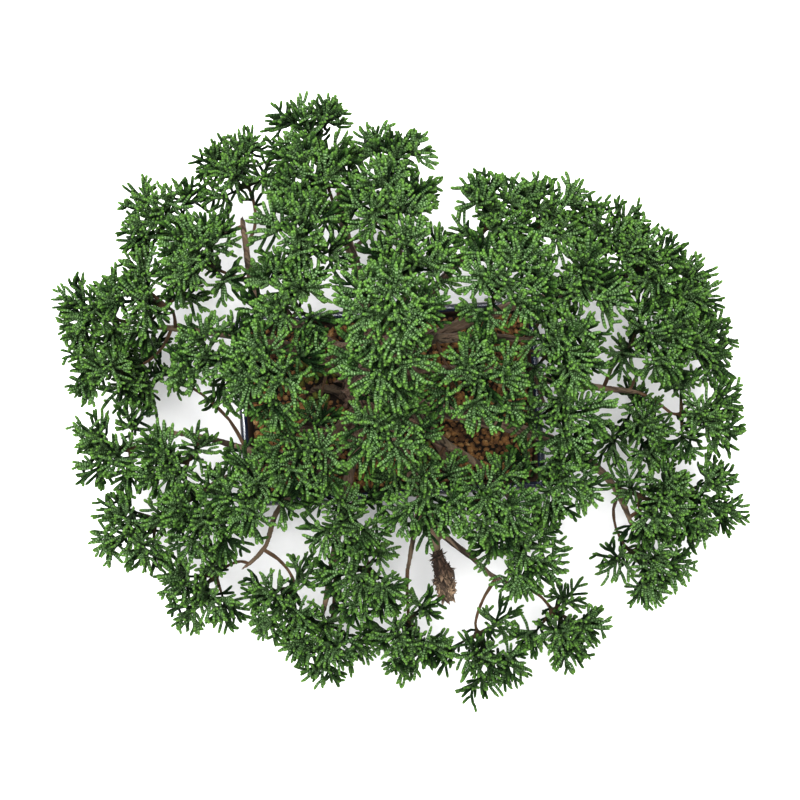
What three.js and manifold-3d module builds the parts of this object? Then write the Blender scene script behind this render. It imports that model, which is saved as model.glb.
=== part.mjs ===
// Chinese juniper bonsai in a rectangular glazed pot.
// Millimetres, +Z up. The pot's sides run along X and Y, and its front faces -Y.

import * as THREE from "three";
import { mergeVertices } from "three/addons/utils/BufferGeometryUtils.js";
import Module from "manifold-3d";

const wasm = await Module();
wasm.setup();

// Room left between pieces that touch
const gap = 0.3;

// Pot
const rimLength = 172;
const rimWidth = 108;
const rimBand = 4.4;
const lipHeight = 8;
const lipProud = 2;
const potHeight = 60;
const footHeight = 8;
const taper = 5;
const cornerRadius = 5;
const cornerPoints = 4;
const edgeBevel = 1.5;
const rimBevel = 1;
const floorTop = footHeight + 6;
const footLength = 26;
const footWidth = 20;
const footThickness = 8;
const footInset = 2;
const drainRadius = 8;
const drainSides = 12;
const drainApart = 84;

// Screens over the drainage holes
const screenSide = 24;
const screenThickness = 1;
const screenCells = 2;
const screenBar = 1.6;

// Soil
const soilEdge = 56.5;
const moundHeight = 7;
const moundSpread = 42;
const granulePitch = 8.2;
const granuleHeight = 0.9;
const granuleShift = 0.2;
const granuleUnevenness = 0.5;

// How far the tree is moved and then turned in its pot
const treeShift = [5.6, 1.7, 0];
const treeTurn = THREE.MathUtils.degToRad(-3.7);

// Wood
const trunkFoot = 38;
const trunkRoute = [
  [-12, -4, trunkFoot],
  [-13, -3, 62],
  [-20, 4, 92],
  [-19, 18, 122],
  [-4, 27, 152],
  [6, 30, 182],
  [2, 35, 212],
  [-3, 36, 224],
];
const trunkRadii = [13, 13.5, 9.6, 8.6, 7.4, 5.6, 3.8, 2.2];
const trunkSides = 8;
const trunkSteps = 9;
const rootStart = 6;
const rootDepth = 6;
const rootSides = 5;
const rootSteps = 4;
const roots = [
  { heading: -150, length: 44, thick: 4.2 },
  { heading: -100, length: 30, thick: 3 },
  { heading: -38, length: 52, thick: 5 },
  { heading: 8, length: 40, thick: 3.4 },
  { heading: 65, length: 34, thick: 3.6 },
  { heading: 118, length: 38, thick: 3.2 },
  { heading: 172, length: 36, thick: 3.6 },
];

// Limbs: the way each runs from the trunk, its radius at both ends, and the tufts on its twigs.
// A tuft is its middle and how far its shoots reach from there.
const limbs = [
  {
    name: "back",
    route: [[-14, 22, 134], [-19, 59, 148], [-28, 84, 144], [-32, 112, 130]],
    thick: [4.4, 2.2],
    tufts: [[-45, 134, 122, 25], [-4, 116, 134, 23], [-42, 106, 165, 22]],
  },
  {
    name: "back_left",
    route: [[-18, 14, 112], [-48, 38, 122], [-74, 47, 125], [-80, 74, 122], [-84, 98, 116]],
    thick: [4, 1.8],
    tufts: [[-85, 119, 115, 21], [-123, 92, 122, 25], [-98, 70, 165, 21]],
  },
  {
    name: "left",
    route: [[-20, 9, 104], [-50, 26, 112], [-85, 34, 114], [-118, 38, 112], [-138, 40, 108]],
    thick: [4, 1.8],
    tufts: [[-159, 45, 112, 20], [-128, 51, 140, 25], [-91, 20, 175, 22], [-155, 17, 108, 20]],
  },
  {
    name: "left_low",
    route: [[-18, 0, 88], [-54, -31, 100], [-74, -30, 105], [-104, -19, 110], [-134, -17, 110]],
    thick: [3.4, 1.5],
    tufts: [[-150, -27, 115, 22], [-135, 15, 89, 17], [-116, -33, 130, 20]],
  },
  {
    name: "left_front",
    route: [[-54, -31, 100], [-76, -35, 106], [-98, -44, 110], [-122, -60, 104]],
    thick: [2.6, 1.6],
    tufts: [[-139, -68, 105, 26], [-100, -60, 140, 22], [-73, -47, 160, 21]],
  },
  {
    name: "front_left",
    route: [[-16, -4, 84], [-42, -38, 96], [-68, -59, 106], [-68, -76, 106], [-86, -92, 103]],
    thick: [3, 1.4],
    tufts: [[-104, -99, 110, 24], [-61, -106, 112, 21]],
  },
  {
    name: "front_middle",
    route: [[-17, -4, 96], [-26, -34, 118], [-32, -66, 122], [-38, -98, 108], [-42, -118, 98]],
    thick: [3.8, 1.8],
    tufts: [[-26, -57, 155, 25], [-18, -93, 130, 24], [-40, -128, 100, 25]],
  },
  {
    name: "front",
    route: [[-14, -2, 80], [2, -30, 94], [14, -54, 99], [20, -84, 96]],
    thick: [5, 3],
    tufts: [],
  },
  {
    name: "front_low",
    route: [[12, -50, 99], [9, -66, 97], [6, -82, 95], [4, -94, 94]],
    thick: [2.4, 1.5],
    tufts: [[5, -125, 105, 23]],
  },
  {
    name: "front_right",
    route: [[16, -64, 98], [26, -76, 96], [40, -86, 95], [52, -98, 93], [68, -102, 93]],
    thick: [2.4, 1.5],
    tufts: [[45, -135, 100, 27], [87, -120, 100, 23]],
  },
  {
    name: "right_front",
    route: [[-16, 4, 98], [30, -8, 112], [80, -20, 110], [112, -38, 102], [128, -72, 94]],
    thick: [5, 1.8],
    tufts: [[133, -87, 95, 23], [132, -53, 120, 22], [159, -54, 105, 25]],
  },
  {
    name: "right",
    route: [[-18, 12, 112], [28, 16, 124], [70, 12, 126], [108, 6, 116], [130, 4, 110]],
    thick: [4.4, 1.8],
    tufts: [
      [156, -8, 120, 24],
      [157, 27, 105, 20],
      [124, 30, 150, 23],
      [79, -7, 180, 21],
      [127, -16, 105, 22],
    ],
  },
  {
    name: "right_back",
    route: [[-12, 20, 128], [28, 38, 138], [68, 52, 134], [104, 58, 120], [130, 60, 110]],
    thick: [4.4, 1.8],
    tufts: [[147, 55, 110, 21], [123, 68, 140, 23], [105, 80, 140, 22]],
  },
  {
    name: "back_right",
    route: [[-6, 26, 148], [14, 52, 154], [36, 76, 148], [56, 88, 138]],
    thick: [3.6, 1.8],
    tufts: [[45, 90, 165, 22], [74, 90, 150, 22]],
  },
  {
    name: "high_left",
    route: [[-5, 26, 150], [-28, 26, 172], [-48, 32, 182], [-56, 46, 184]],
    thick: [3.4, 1.8],
    tufts: [[-46, 75, 205, 21], [-52, 48, 205, 20], [-59, 13, 215, 21], [-46, -24, 185, 22]],
  },
  {
    name: "crown",
    route: [[-2, 36, 220], [-4, 36, 228], [-5, 35, 237]],
    thick: [2.4, 1.7],
    tufts: [[-6, 37, 262, 22], [-6, 18, 252, 20]],
  },
  {
    name: "high_back",
    route: [[5, 31, 184], [3, 46, 193], [2, 62, 194], [0, 74, 188]],
    thick: [2.8, 1.6],
    tufts: [[6, 60, 225, 20], [-6, 88, 205, 22]],
  },
  {
    name: "high_right",
    route: [[5, 29, 174], [28, 30, 192], [48, 30, 196], [66, 28, 190]],
    thick: [3.4, 1.8],
    tufts: [[46, 52, 235, 23], [83, 52, 200, 22], [74, 24, 205, 21], [35, 8, 228, 23]],
  },
  {
    name: "high_front",
    route: [[-3, 27, 154], [4, -2, 168], [22, -22, 166], [46, -36, 150], [60, -56, 132]],
    thick: [3.6, 1.7],
    tufts: [
      [-6, -12, 222, 19],
      [12, -45, 185, 22],
      [43, -50, 182, 21],
      [78, -38, 160, 22],
      [61, -78, 140, 22],
    ],
  },
];
const limbSides = 6;
const limbSteps = 6;
const twigRadius = 1.45;
const stemRadius = 1.25;
const twigRoot = 2.2;
const sharpestTurn = Math.cos(THREE.MathUtils.degToRad(65));

// Deadwood at the end of the front limb
const snagRoute = [[20, -84, 96], [22, -91, 95], [24, -99, 93], [26, -106, 91]];
const snagRadii = [3, 3.6, 4.4, 3.6];
const snagSides = 8;
const snagSteps = 8;
const snagRoughness = [0.8, 1.25];
const flake = { count: 12, places: [0.3, 0.92], lean: [0.5, 1.1], length: [6, 8.5], radius: 2.2, sides: 4 };
const splinter = { count: 10, places: [0.82, 1], lean: [1.2, 2.6], length: [8, 13], radius: 1, sides: 3 };
const flakeFlatness = 0.45;

// Foliage: a shoot is as thick as a ring side of its sprig is long
const shootRadius = 0.92;
const ringHeight = 1.7;
const shootLength = [12, 16.5];
const shootSpread = THREE.MathUtils.degToRad(52);
const rootShare = 0.35;
const hair = 0.1;

// Tufts point away from the heart of the tree, and a little up
const treeHeart = new THREE.Vector3(0, 0, 55);
const tuftLift = 0.9;

// The stem of a tuft, in shares of the tuft's reach. It starts at the first of these depths below
// the tuft's middle to which a twig finds its way. It has two joints that carry three sprigs each,
// then a ring of shoots and its own tip.
const stemDepths = [0.72, 0.62, 0.82, 0.52];
const joints = [
  { place: 0.28, height: 2, radius: 1.2, spread: THREE.MathUtils.degToRad(68), sprig: 0.60 },
  { place: 0.68, height: 1.9, radius: 1.1, spread: THREE.MathUtils.degToRad(42), sprig: 0.52 },
];
const crownPlace = 0.95;
const tipPlace = 1.62;
const lowestSprig = -0.25;

// Draws that come out the same each time
function dice(seed) {
  let state = seed;
  return (low, high) => {
    state = (state * 1664525 + 1013904223) >>> 0;
    return low + ((high - low) * state) / 2 ** 32;
  };
}

const vector = ([x, y, z]) => new THREE.Vector3(x, y, z);

// A value from an evenly spaced list, at t from 0 to 1 along it
function along(list, t) {
  const place = t * (list.length - 1);
  const i = Math.min(Math.floor(place), list.length - 2);
  return THREE.MathUtils.lerp(list[i], list[i + 1], place - i);
}

// Geometry whose triangles share the points at which they meet
function welded(geometry) {
  const loose = geometry.index ? geometry.toNonIndexed() : geometry;
  const bare = new THREE.BufferGeometry();
  return mergeVertices(bare.setAttribute("position", loose.getAttribute("position")));
}

function solidOf(geometry) {
  const { attributes, index } = welded(geometry);
  const vertProperties = attributes.position.array;
  const triVerts = new Uint32Array(index.array);
  return new wasm.Manifold(new wasm.Mesh({ numProp: 3, vertProperties, triVerts }));
}

function geometryOf(solid) {
  const mesh = solid.getMesh();
  const indexed = new THREE.BufferGeometry();
  indexed.setAttribute("position", new THREE.BufferAttribute(mesh.vertProperties, 3));
  indexed.setIndex(new THREE.BufferAttribute(mesh.triVerts, 1));
  const flat = indexed.toNonIndexed();
  flat.computeVertexNormals();
  return flat;
}

function geometryFrom(points, faces) {
  const geometry = new THREE.BufferGeometry().setFromPoints(points);
  geometry.setIndex(faces.flat());
  return geometry;
}

const joined = (solids) => solids.reduce((all, one) => all.add(one));

// A closed body through rings of points, each anticlockwise seen from the far end
function loft(rings) {
  const count = rings[0].length;
  const faces = [];
  for (let ring = 0; ring + 1 < rings.length; ring++) {
    for (let i = 0; i < count; i++) {
      const a = ring * count + i;
      const b = ring * count + ((i + 1) % count);
      faces.push([a, b, b + count], [a, b + count, a + count]);
    }
  }
  const last = (rings.length - 1) * count;
  for (let i = 1; i + 1 < count; i++) {
    faces.push([0, i + 1, i], [last, last + i, last + i + 1]);
  }
  return geometryFrom(rings.flat(), faces);
}

// A ring of points on a rectangle with round corners
function roundedRectangle(length, width, radius, z) {
  const ring = [];
  for (let corner = 0; corner < 4; corner++) {
    const right = corner === 0 || corner === 3 ? 1 : -1;
    const back = corner < 2 ? 1 : -1;
    for (let i = 0; i < cornerPoints; i++) {
      const angle = ((corner + i / (cornerPoints - 1)) * Math.PI) / 2;
      ring.push(
        new THREE.Vector3(
          right * (length / 2 - radius) + radius * Math.cos(angle),
          back * (width / 2 - radius) + radius * Math.sin(angle),
          z,
        ),
      );
    }
  }
  return ring;
}

// The pot's outline at a height, drawn in from the rim by some amount all round
function potOutline(z, drawnIn) {
  const lean = taper * (1 - (z - footHeight) / (potHeight - footHeight));
  const inset = 2 * (drawnIn + lean);
  const radius = Math.max(cornerRadius - drawnIn / 2, 2);
  return roundedRectangle(rimLength - inset, rimWidth - inset, radius, z);
}

function makePot() {
  const lipBottom = potHeight - lipHeight;
  const rim = (drawnIn, z) =>
    roundedRectangle(rimLength - 2 * drawnIn, rimWidth - 2 * drawnIn, cornerRadius - drawnIn / 2, z);
  const walls = loft([
    potOutline(footHeight, lipProud + edgeBevel),
    potOutline(footHeight + edgeBevel, lipProud),
    potOutline(lipBottom - edgeBevel, lipProud),
    rim(0, lipBottom),
    rim(0, potHeight - rimBevel),
    rim(rimBevel, potHeight),
    rim(rimBand, potHeight),
    potOutline(floorTop, rimBand + lipProud),
  ]);
  const feet = [];
  const drains = [];
  for (const right of [-1, 1]) {
    for (const back of [-1, 1]) feet.push(solidOf(makeFoot(right, back)));
    const drain = new THREE.CylinderGeometry(drainRadius, drainRadius, 3 * floorTop, drainSides);
    drain.rotateX(Math.PI / 2).translate((right * drainApart) / 2, 0, 0);
    drains.push(solidOf(drain));
  }
  return joined([solidOf(walls), ...feet]).subtract(joined(drains));
}

// An angled foot under one corner of the pot, sunk a little into its floor
function makeFoot(right, back) {
  const cornerX = rimLength / 2 - lipProud - taper - footInset;
  const cornerY = rimWidth / 2 - lipProud - taper - footInset;
  const outline = [
    [0, 0],
    [footLength, 0],
    [footLength, footThickness],
    [footThickness, footThickness],
    [footThickness, footWidth],
    [0, footWidth],
  ].map(([x, y]) => new THREE.Vector2(right * (cornerX - x), back * (cornerY - y)));
  return new THREE.ExtrudeGeometry(new THREE.Shape(outline), {
    depth: footHeight + 1,
    bevelEnabled: false,
  });
}

// A square screen over a drainage hole, lying on the pot's floor
function makeScreen(right) {
  const cell = (screenSide - screenBar) / screenCells;
  const middle = (screenCells - 1) / 2;
  const holes = [];
  for (let column = 0; column < screenCells; column++) {
    for (let row = 0; row < screenCells; row++) {
      const hole = new THREE.BoxGeometry(cell - screenBar, cell - screenBar, 3 * screenThickness);
      holes.push(solidOf(hole.translate((column - middle) * cell, (row - middle) * cell, 0)));
    }
  }
  const plate = new THREE.BoxGeometry(screenSide, screenSide, screenThickness);
  const place = [(right * drainApart) / 2, 0, floorTop + gap + screenThickness / 2];
  return solidOf(plate).subtract(joined(holes)).translate(place);
}

// The soil's level without its granules: a low mound round the trunk
function soilLevel(point, trunk) {
  const away = Math.hypot(point.x - trunk.x, 1.3 * (point.y - trunk.y)) / moundSpread;
  return soilEdge + moundHeight * Math.exp(-away * away);
}

// Soil that fills the pot, with granules standing out of it in rows that are shifted at random
function makeSoil(roomForWood, trunk) {
  const draw = dice(11);
  const columns = Math.round(rimLength / granulePitch);
  const rows = Math.round(rimWidth / granulePitch);
  const bottom = floorTop - 5;
  const block = welded(new THREE.BoxGeometry(rimLength, rimWidth, 1, columns, rows, 1));
  const places = block.getAttribute("position");
  for (let i = 0; i < places.count; i++) {
    if (places.getZ(i) < 0) {
      places.setZ(i, bottom);
      continue;
    }
    const column = Math.round((places.getX(i) / rimLength) * columns);
    const row = Math.round((places.getY(i) / rimWidth) * rows);
    const raised = (column + row) % 2 === 0 ? granuleHeight : -granuleHeight;
    const place = new THREE.Vector3().fromBufferAttribute(places, i);
    place.x += draw(-granuleShift, granuleShift) * granulePitch;
    place.y += draw(-granuleShift, granuleShift) * granulePitch;
    const uneven = draw(-granuleUnevenness, granuleUnevenness);
    places.setXYZ(i, place.x, place.y, soilLevel(place, trunk) + raised + uneven);
  }
  const inside = loft([
    potOutline(floorTop + gap, rimBand + lipProud + gap),
    potOutline(potHeight + 2 * moundHeight, rimBand + lipProud + gap),
  ]);
  const pockets = [-1, 1].map((right) => {
    const side = screenSide + 2 * gap;
    const pocket = new THREE.BoxGeometry(side, side, 2 * (screenThickness + 2 * gap));
    return solidOf(pocket.translate((right * drainApart) / 2, 0, floorTop));
  });
  return solidOf(block).intersect(solidOf(inside)).subtract(joined([...pockets, roomForWood]));
}

// Every tapered length of wood and foliage, so that what grows next can keep clear of it
const bones = [];

// A round length of wood through the points of its route. With some spare it is that much fatter
// and longer, as the room which soil leaves for it.
function makeLimb(route, radii, sides, steps, { spare = 0, rough = () => 1, owner = "wood" } = {}) {
  const curve = new THREE.CatmullRomCurve3(route, false, "centripetal");
  const frames = curve.computeFrenetFrames(steps, false);
  const rings = [];
  const centres = [];
  for (let step = 0; step <= steps; step++) {
    const t = step / steps;
    const centre = curve.getPointAt(t);
    const outward = step === 0 ? -spare : step === steps ? spare : 0;
    centre.addScaledVector(frames.tangents[step], outward);
    const ring = [];
    for (let i = 0; i < sides; i++) {
      const angle = (i / sides) * 2 * Math.PI;
      const radius = along(radii, t) * rough(angle, t) + spare;
      ring.push(
        centre
          .clone()
          .addScaledVector(frames.normals[step], radius * Math.cos(angle))
          .addScaledVector(frames.binormals[step], radius * Math.sin(angle)),
      );
    }
    rings.push(ring);
    centres.push(centre);
  }
  if (!spare) {
    for (let step = 0; step < steps; step++) {
      bones.push({
        from: centres[step],
        to: centres[step + 1],
        thick: along(radii, step / steps),
        thin: along(radii, (step + 1) / steps),
        owner,
      });
    }
  }
  return solidOf(loft(rings));
}

// The trunk swells into its roots at the foot, and is a little fluted
const trunkFlutes = (angle, t) => 1 + (0.05 + 0.16 * (1 - t) ** 3) * Math.sin(3 * angle + 5 * t);

function makeTrunk(spare) {
  const shape = { spare, rough: trunkFlutes };
  return makeLimb(trunkRoute.map(vector), trunkRadii, trunkSides, trunkSteps, shape);
}

// A surface root, which runs down the mound and dives into the soil
function makeRoot({ heading, length, thick }, spare) {
  const trunk = vector(trunkRoute[1]);
  const angle = THREE.MathUtils.degToRad(heading);
  const route = [0, 0.3, 0.6, 0.85, 1].map((t) => {
    const bend = angle + 0.25 * Math.sin(4 * t + heading);
    const point = new THREE.Vector3(Math.cos(bend), Math.sin(bend), 0);
    point.multiplyScalar(rootStart + t * length).add(trunk);
    const rise = t === 0 ? rootStart : t === 1 ? -rootDepth : 0.4 * thick;
    return point.setZ(soilLevel(point, trunk) + rise);
  });
  return makeLimb(route, [thick * 1.3, thick, 0.5 * thick], rootSides, rootSteps, { spare });
}

const makeRootStock = (spare) =>
  joined([makeTrunk(spare), ...roots.map((root) => makeRoot(root, spare))]);

// Foliage grows as one skin of triangles. The root of each shoot is a triangle of its parent's
// skin, so a tuft is one closed body.
class Skin {
  points = [];
  faces = new Set();

  point(place) {
    return this.points.push(place) - 1;
  }

  face(...corners) {
    this.faces.add(corners);
    return corners;
  }

  middle(loop) {
    const sum = new THREE.Vector3();
    for (const i of loop) sum.add(this.points[i]);
    return sum.divideScalar(loop.length);
  }

  // A band of triangles from a loop to a new one, which is turned half a step
  band(loop, centre, axis, radius) {
    const here = this.middle(loop);
    const next = loop.map((point, i) => {
      const after = loop[(i + 1) % loop.length];
      const side = this.points[point].clone().add(this.points[after]).multiplyScalar(0.5).sub(here);
      return this.point(side.projectOnPlane(axis).setLength(radius).add(centre));
    });
    const sides = loop.flatMap((point, i) => {
      const j = (i + 1) % loop.length;
      return [this.face(point, loop[j], next[i]), this.face(loop[j], next[j], next[i])];
    });
    return { loop: next, sides };
  }

  tip(loop, place) {
    const top = this.point(place);
    loop.forEach((point, i) => this.face(point, loop[(i + 1) % loop.length], top));
  }

  // Takes a face away, so that something can grow out of its edge
  open(face) {
    this.faces.delete(face);
    return face;
  }

  get geometry() {
    return geometryFrom(this.points, [...this.faces]);
  }
}

// How near two bones' surfaces come, leaving out the first part of each
function clearance(one, other, skipped = 0) {
  const p = one.from.clone().lerp(one.to, skipped);
  const q = other.from.clone().lerp(other.to, skipped);
  const u = one.to.clone().sub(p);
  const v = other.to.clone().sub(q);
  const w = p.clone().sub(q);
  const [a, b, c, d, e] = [u.dot(u), u.dot(v), v.dot(v), u.dot(w), v.dot(w)];
  const { clamp, lerp } = THREE.MathUtils;
  const square = a * c - b * b;
  let s = square > 1e-9 ? clamp((b * e - c * d) / square, 0, 1) : 0;
  const t = clamp((b * s + e) / c, 0, 1);
  s = clamp((b * t - d) / a, 0, 1);
  const apart = p.addScaledVector(u, s).distanceTo(q.addScaledVector(v, t));
  const radius = (bone, part) => lerp(bone.thick, bone.thin, skipped + (1 - skipped) * part);
  return apart - radius(one, s) - radius(other, t);
}

// Whether a new bone has room. In its own tuft only the part beyond its root needs room, and none
// from the bones of its own family.
function hasRoom(bone) {
  const middle = bone.from.clone().lerp(bone.to, 0.5);
  const half = bone.from.distanceTo(bone.to) / 2;
  return bones.every((other) => {
    if (other.family && other.family === bone.family) return true;
    const far = half + other.from.distanceTo(other.to) / 2 + 4;
    if (middle.distanceTo(other.from.clone().lerp(other.to, 0.5)) > far) return true;
    const own = other.owner === bone.owner;
    if (own && other.family === "stem" && !bone.shoot) return true;
    return clearance(bone, other, own ? rootShare : 0) > hair + (own ? 0 : gap);
  });
}

// A sprig leaves a face of the stem. It ends in a ring, whose sides carry shoots, and a tip.
function growSprig(tuft, face, direction, length) {
  const { skin, name, sprigs } = tuft;
  const root = skin.middle(face);
  const ringStart = root.clone().addScaledVector(direction, length);
  const ringEnd = ringStart.clone().addScaledVector(direction, ringHeight);
  const tip = ringEnd.clone().addScaledVector(direction, tuft.draw(...shootLength));
  const family = `${name} ${sprigs.length}`;
  const bone = { from: root, to: ringEnd, thick: stemRadius, thin: shootRadius, owner: name, family };
  const leader = { from: ringEnd, to: tip, thick: shootRadius, thin: 0, owner: name, family };
  if (!hasRoom(bone) || !hasRoom(leader)) return false;
  bones.push(bone, leader);
  const low = skin.band(skin.open(face), ringStart, direction, shootRadius);
  const ring = skin.band(low.loop, ringEnd, direction, shootRadius);
  skin.tip(ring.loop, tip);
  sprigs.push({ sides: ring.sides, axis: direction, centre: ringStart.lerp(ringEnd, 0.5), family });
  return true;
}

// A direction at an angle from an axis, towards the side on which a point lies
function leaning(axis, centre, point, angle) {
  const side = point.clone().sub(centre).projectOnPlane(axis).normalize();
  return axis.clone().multiplyScalar(Math.cos(angle)).addScaledVector(side, Math.sin(angle));
}

// The way of a twig from its limb to the foot of its tuft, or nothing if it would turn sharply or
// touch what has grown there
function tryTwig(start, heading, foot, aim, rootLength = twigRoot) {
  const run = start.distanceTo(foot);
  const bend = start.clone().addScaledVector(heading, 0.35 * run);
  bend.lerp(foot.clone().addScaledVector(aim, -0.4 * run), 0.4);
  const path = new THREE.QuadraticBezierCurve3(start, bend, foot);
  const points = [0, 0.35, 0.7, 1].map((part) => path.getPoint(part));
  const ways = points.slice(1).map((point, i) => point.clone().sub(points[i]).normalize());
  const turns = [heading, ...ways, aim];
  if (turns.slice(1).some((way, i) => way.dot(turns[i]) < sharpestTurn)) return null;
  const free = [start.clone().addScaledVector(heading, rootLength), ...points.slice(1)];
  const fits = ways.every((_, i) =>
    hasRoom({ from: free[i], to: free[i + 1], thick: twigRadius, thin: twigRadius, owner: "twig" }),
  );
  return fits ? { heading, points } : null;
}

// The corners of a twig's seat, round its middle
function seatCorners(heading) {
  const across = new THREE.Vector3(0, 0, 1).cross(heading).setLength(twigRadius);
  return [0, 1, 2].map((i) => across.clone().applyAxisAngle(heading, (i * 2 * Math.PI) / 3));
}

// How high the wood stands over a point on a limb's axis, under the middle, edges and corners of a
// twig's seat there
function woodHeight(onAxis, side, radius) {
  const hits = seatCorners(side).flatMap((corner) =>
    [0, -0.5, 1].flatMap((share) => {
      const place = corner.clone().multiplyScalar(share).add(onAxis);
      return new THREE.Raycaster(place, side, 0, 2 * radius).intersectObject(woodSurface).slice(0, 1);
    }),
  );
  return Math.max(...hits.map((hit) => hit.distance));
}

// A twig leaves the side of its limb where that is nearest to the foot of its tuft, but not beyond
// it, or it goes on from the limb's end. It takes the first way that has room.
function twigTo(foot, aim, { curve, thick }) {
  const fromTrunk = (point) => Math.hypot(point.x - treeHeart.x, point.y - treeHeart.y);
  let nearest = 0.25;
  for (let t = 0.25; t <= 1; t += 0.05) {
    const point = curve.getPointAt(t);
    const nearer = point.distanceTo(foot) < curve.getPointAt(nearest).distanceTo(foot);
    if (nearer && fromTrunk(point) < fromTrunk(foot)) nearest = t;
  }
  if (nearest > 0.9) {
    const heading = curve.getTangentAt(1);
    const start = curve.getPointAt(1).addScaledVector(heading, gap);
    const twig = tryTwig(start, heading, foot, aim, thick[1] + twigRadius + 2 * gap);
    if (twig) return twig;
  }
  for (const shift of [0, -0.08, 0.08, -0.16, 0.16, -0.3]) {
    for (const turn of [0, 0.5, -0.5, 1, -1, 1.5, -1.5]) {
      const t = THREE.MathUtils.clamp(nearest + shift, 0.1, 0.97);
      const onAxis = curve.getPointAt(t);
      const limbAxis = curve.getTangentAt(t);
      const side = foot.clone().sub(onAxis).projectOnPlane(limbAxis).normalize();
      side.applyAxisAngle(limbAxis, turn);
      const height = woodHeight(onAxis, side, along(thick, t));
      const twig = tryTwig(onAxis.addScaledVector(side, height + gap + hair), side, foot, aim);
      if (height > 0 && twig) return twig;
    }
  }
  return null;
}

function findTwig({ name, middle, aim, reach }, limb) {
  for (const depth of stemDepths) {
    const twig = twigTo(middle.clone().addScaledVector(aim, -depth * reach), aim, limb);
    if (twig) return twig;
  }
  throw new Error(`no way for the twig of ${name}`);
}

// The stem of a tuft runs on from its twig through its joints to its crown
function growStem(tuft, limb) {
  const { aim, reach, skin, name } = tuft;
  const { heading, points } = findTwig(tuft, limb);
  const seat = seatCorners(heading).map((corner) => skin.point(corner.add(points[0])));
  skin.face(seat[0], seat[2], seat[1]);
  let top = { loop: seat, end: points[0], radius: twigRadius };
  const grow = (end, axis, radius) => {
    const bone = { from: top.end, to: end, thick: top.radius, thin: radius };
    bones.push({ ...bone, owner: name, family: "stem" });
    top = { ...skin.band(top.loop, end, axis, radius), end, radius };
    return top.sides;
  };
  points.slice(1).forEach((point, i) => {
    grow(point, point.clone().sub(points[i]).normalize(), stemRadius);
  });
  const foot = points.at(-1);
  const at = (share, extra = 0) => foot.clone().addScaledVector(aim, share * reach + extra);
  const rings = joints.map(({ place, height, radius, spread, sprig }) => {
    grow(at(place), aim, radius);
    const sides = grow(at(place, height), aim, radius);
    return { sides, centre: at(place, height / 2), spread, length: sprig * reach };
  });
  grow(at(crownPlace), aim, shootRadius);
  const sides = grow(at(crownPlace, ringHeight), aim, shootRadius);
  const family = `${name} crown`;
  const tip = at(tipPlace);
  bones.push({ from: top.end, to: tip, thick: shootRadius, thin: 0, owner: name, family });
  skin.tip(top.loop, tip);
  tuft.sprigs.push({ sides, axis: aim, centre: at(crownPlace, ringHeight / 2), family });
  rings.forEach((ring, i) => growSprigs(tuft, ring, i));
}

// Sprigs on every other side of a joint, tried shorter and steeper until there is room
function growSprigs(tuft, { sides, centre, spread, length }, first) {
  for (let i = first; i < sides.length; i += 2) {
    for (let attempt = 0; attempt < 6; attempt++) {
      const angle = spread * tuft.draw(0.85, 1.15) * (1 - 0.08 * attempt);
      const direction = leaning(tuft.aim, centre, tuft.skin.middle(sides[i]), angle);
      direction.z = Math.max(direction.z, lowestSprig);
      direction.normalize();
      if (growSprig(tuft, sides[i], direction, length * (1 - 0.12 * attempt))) break;
    }
  }
}

// Shoots on every side of every ring that has room for one
function growShoots({ skin, name, draw, sprigs }) {
  for (const { sides, axis, centre, family } of sprigs) {
    for (const face of sides) {
      const from = skin.middle(face);
      for (let attempt = 0; attempt < 5; attempt++) {
        const angle = shootSpread * draw(0.8, 1.2) * (1 - 0.06 * attempt);
        const direction = leaning(axis, centre, from, angle);
        const to = from.clone().addScaledVector(direction, draw(...shootLength) * (1 - 0.13 * attempt));
        const bone = { from, to, thick: shootRadius, thin: 0, owner: name, family, shoot: true };
        if (!hasRoom(bone)) continue;
        bones.push(bone);
        skin.tip(skin.open(face), to);
        break;
      }
    }
  }
}

// Broken deadwood: a rough core with flakes of old bark on it and splinters at its end
function makeSnag() {
  const draw = dice(5);
  const route = snagRoute.map(vector);
  const away = route[1].clone().sub(route[0]).normalize();
  route[0].addScaledVector(away, 2 * gap);
  const bumps = Array.from({ length: 40 }, () => draw(...snagRoughness));
  const rough = (angle, t) => bumps[(Math.round(angle * 3) + 7 * Math.round(t * 8)) % bumps.length];
  const core = makeLimb(route, snagRadii, snagSides, snagSteps, { rough, owner: "deadwood" });
  const curve = new THREE.CatmullRomCurve3(route);
  const pieces = [core];
  for (let i = 0; i < flake.count + splinter.count; i++) {
    const kind = i < flake.count ? flake : splinter;
    const t = draw(...kind.places);
    const axis = curve.getTangent(t);
    const side = new THREE.Vector3(0, 0, 1).projectOnPlane(axis).normalize();
    side.applyAxisAngle(axis, i * 2.4);
    const heading = axis.clone().multiplyScalar(draw(...kind.lean)).add(side).normalize();
    const height = draw(...kind.length);
    const shard = new THREE.ConeGeometry(kind.radius, height, kind.sides, 1);
    if (kind === flake) shard.scale(1, 1, flakeFlatness);
    shard.translate(0, height / 2, 0);
    shard.applyQuaternion(new THREE.Quaternion().setFromUnitVectors(new THREE.Vector3(0, 1, 0), heading));
    shard.translate(...curve.getPoint(t).addScaledVector(side, 0.8));
    pieces.push(solidOf(shard));
  }
  return joined(pieces);
}

// Materials
const finish = (color, roughness, metalness = 0) =>
  new THREE.MeshStandardMaterial({ color, roughness, metalness });
const glaze = finish(0x1c2a44, 0.22);
const clay = finish(0x8a5a34, 0.95);
const bark = finish(0x6a5344, 0.9);
const bleached = finish(0x8a7a66, 0.92);
const screenPlastic = finish(0x23241f, 0.6);
const leaf = finish(0x3f6b32, 0.55);

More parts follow.
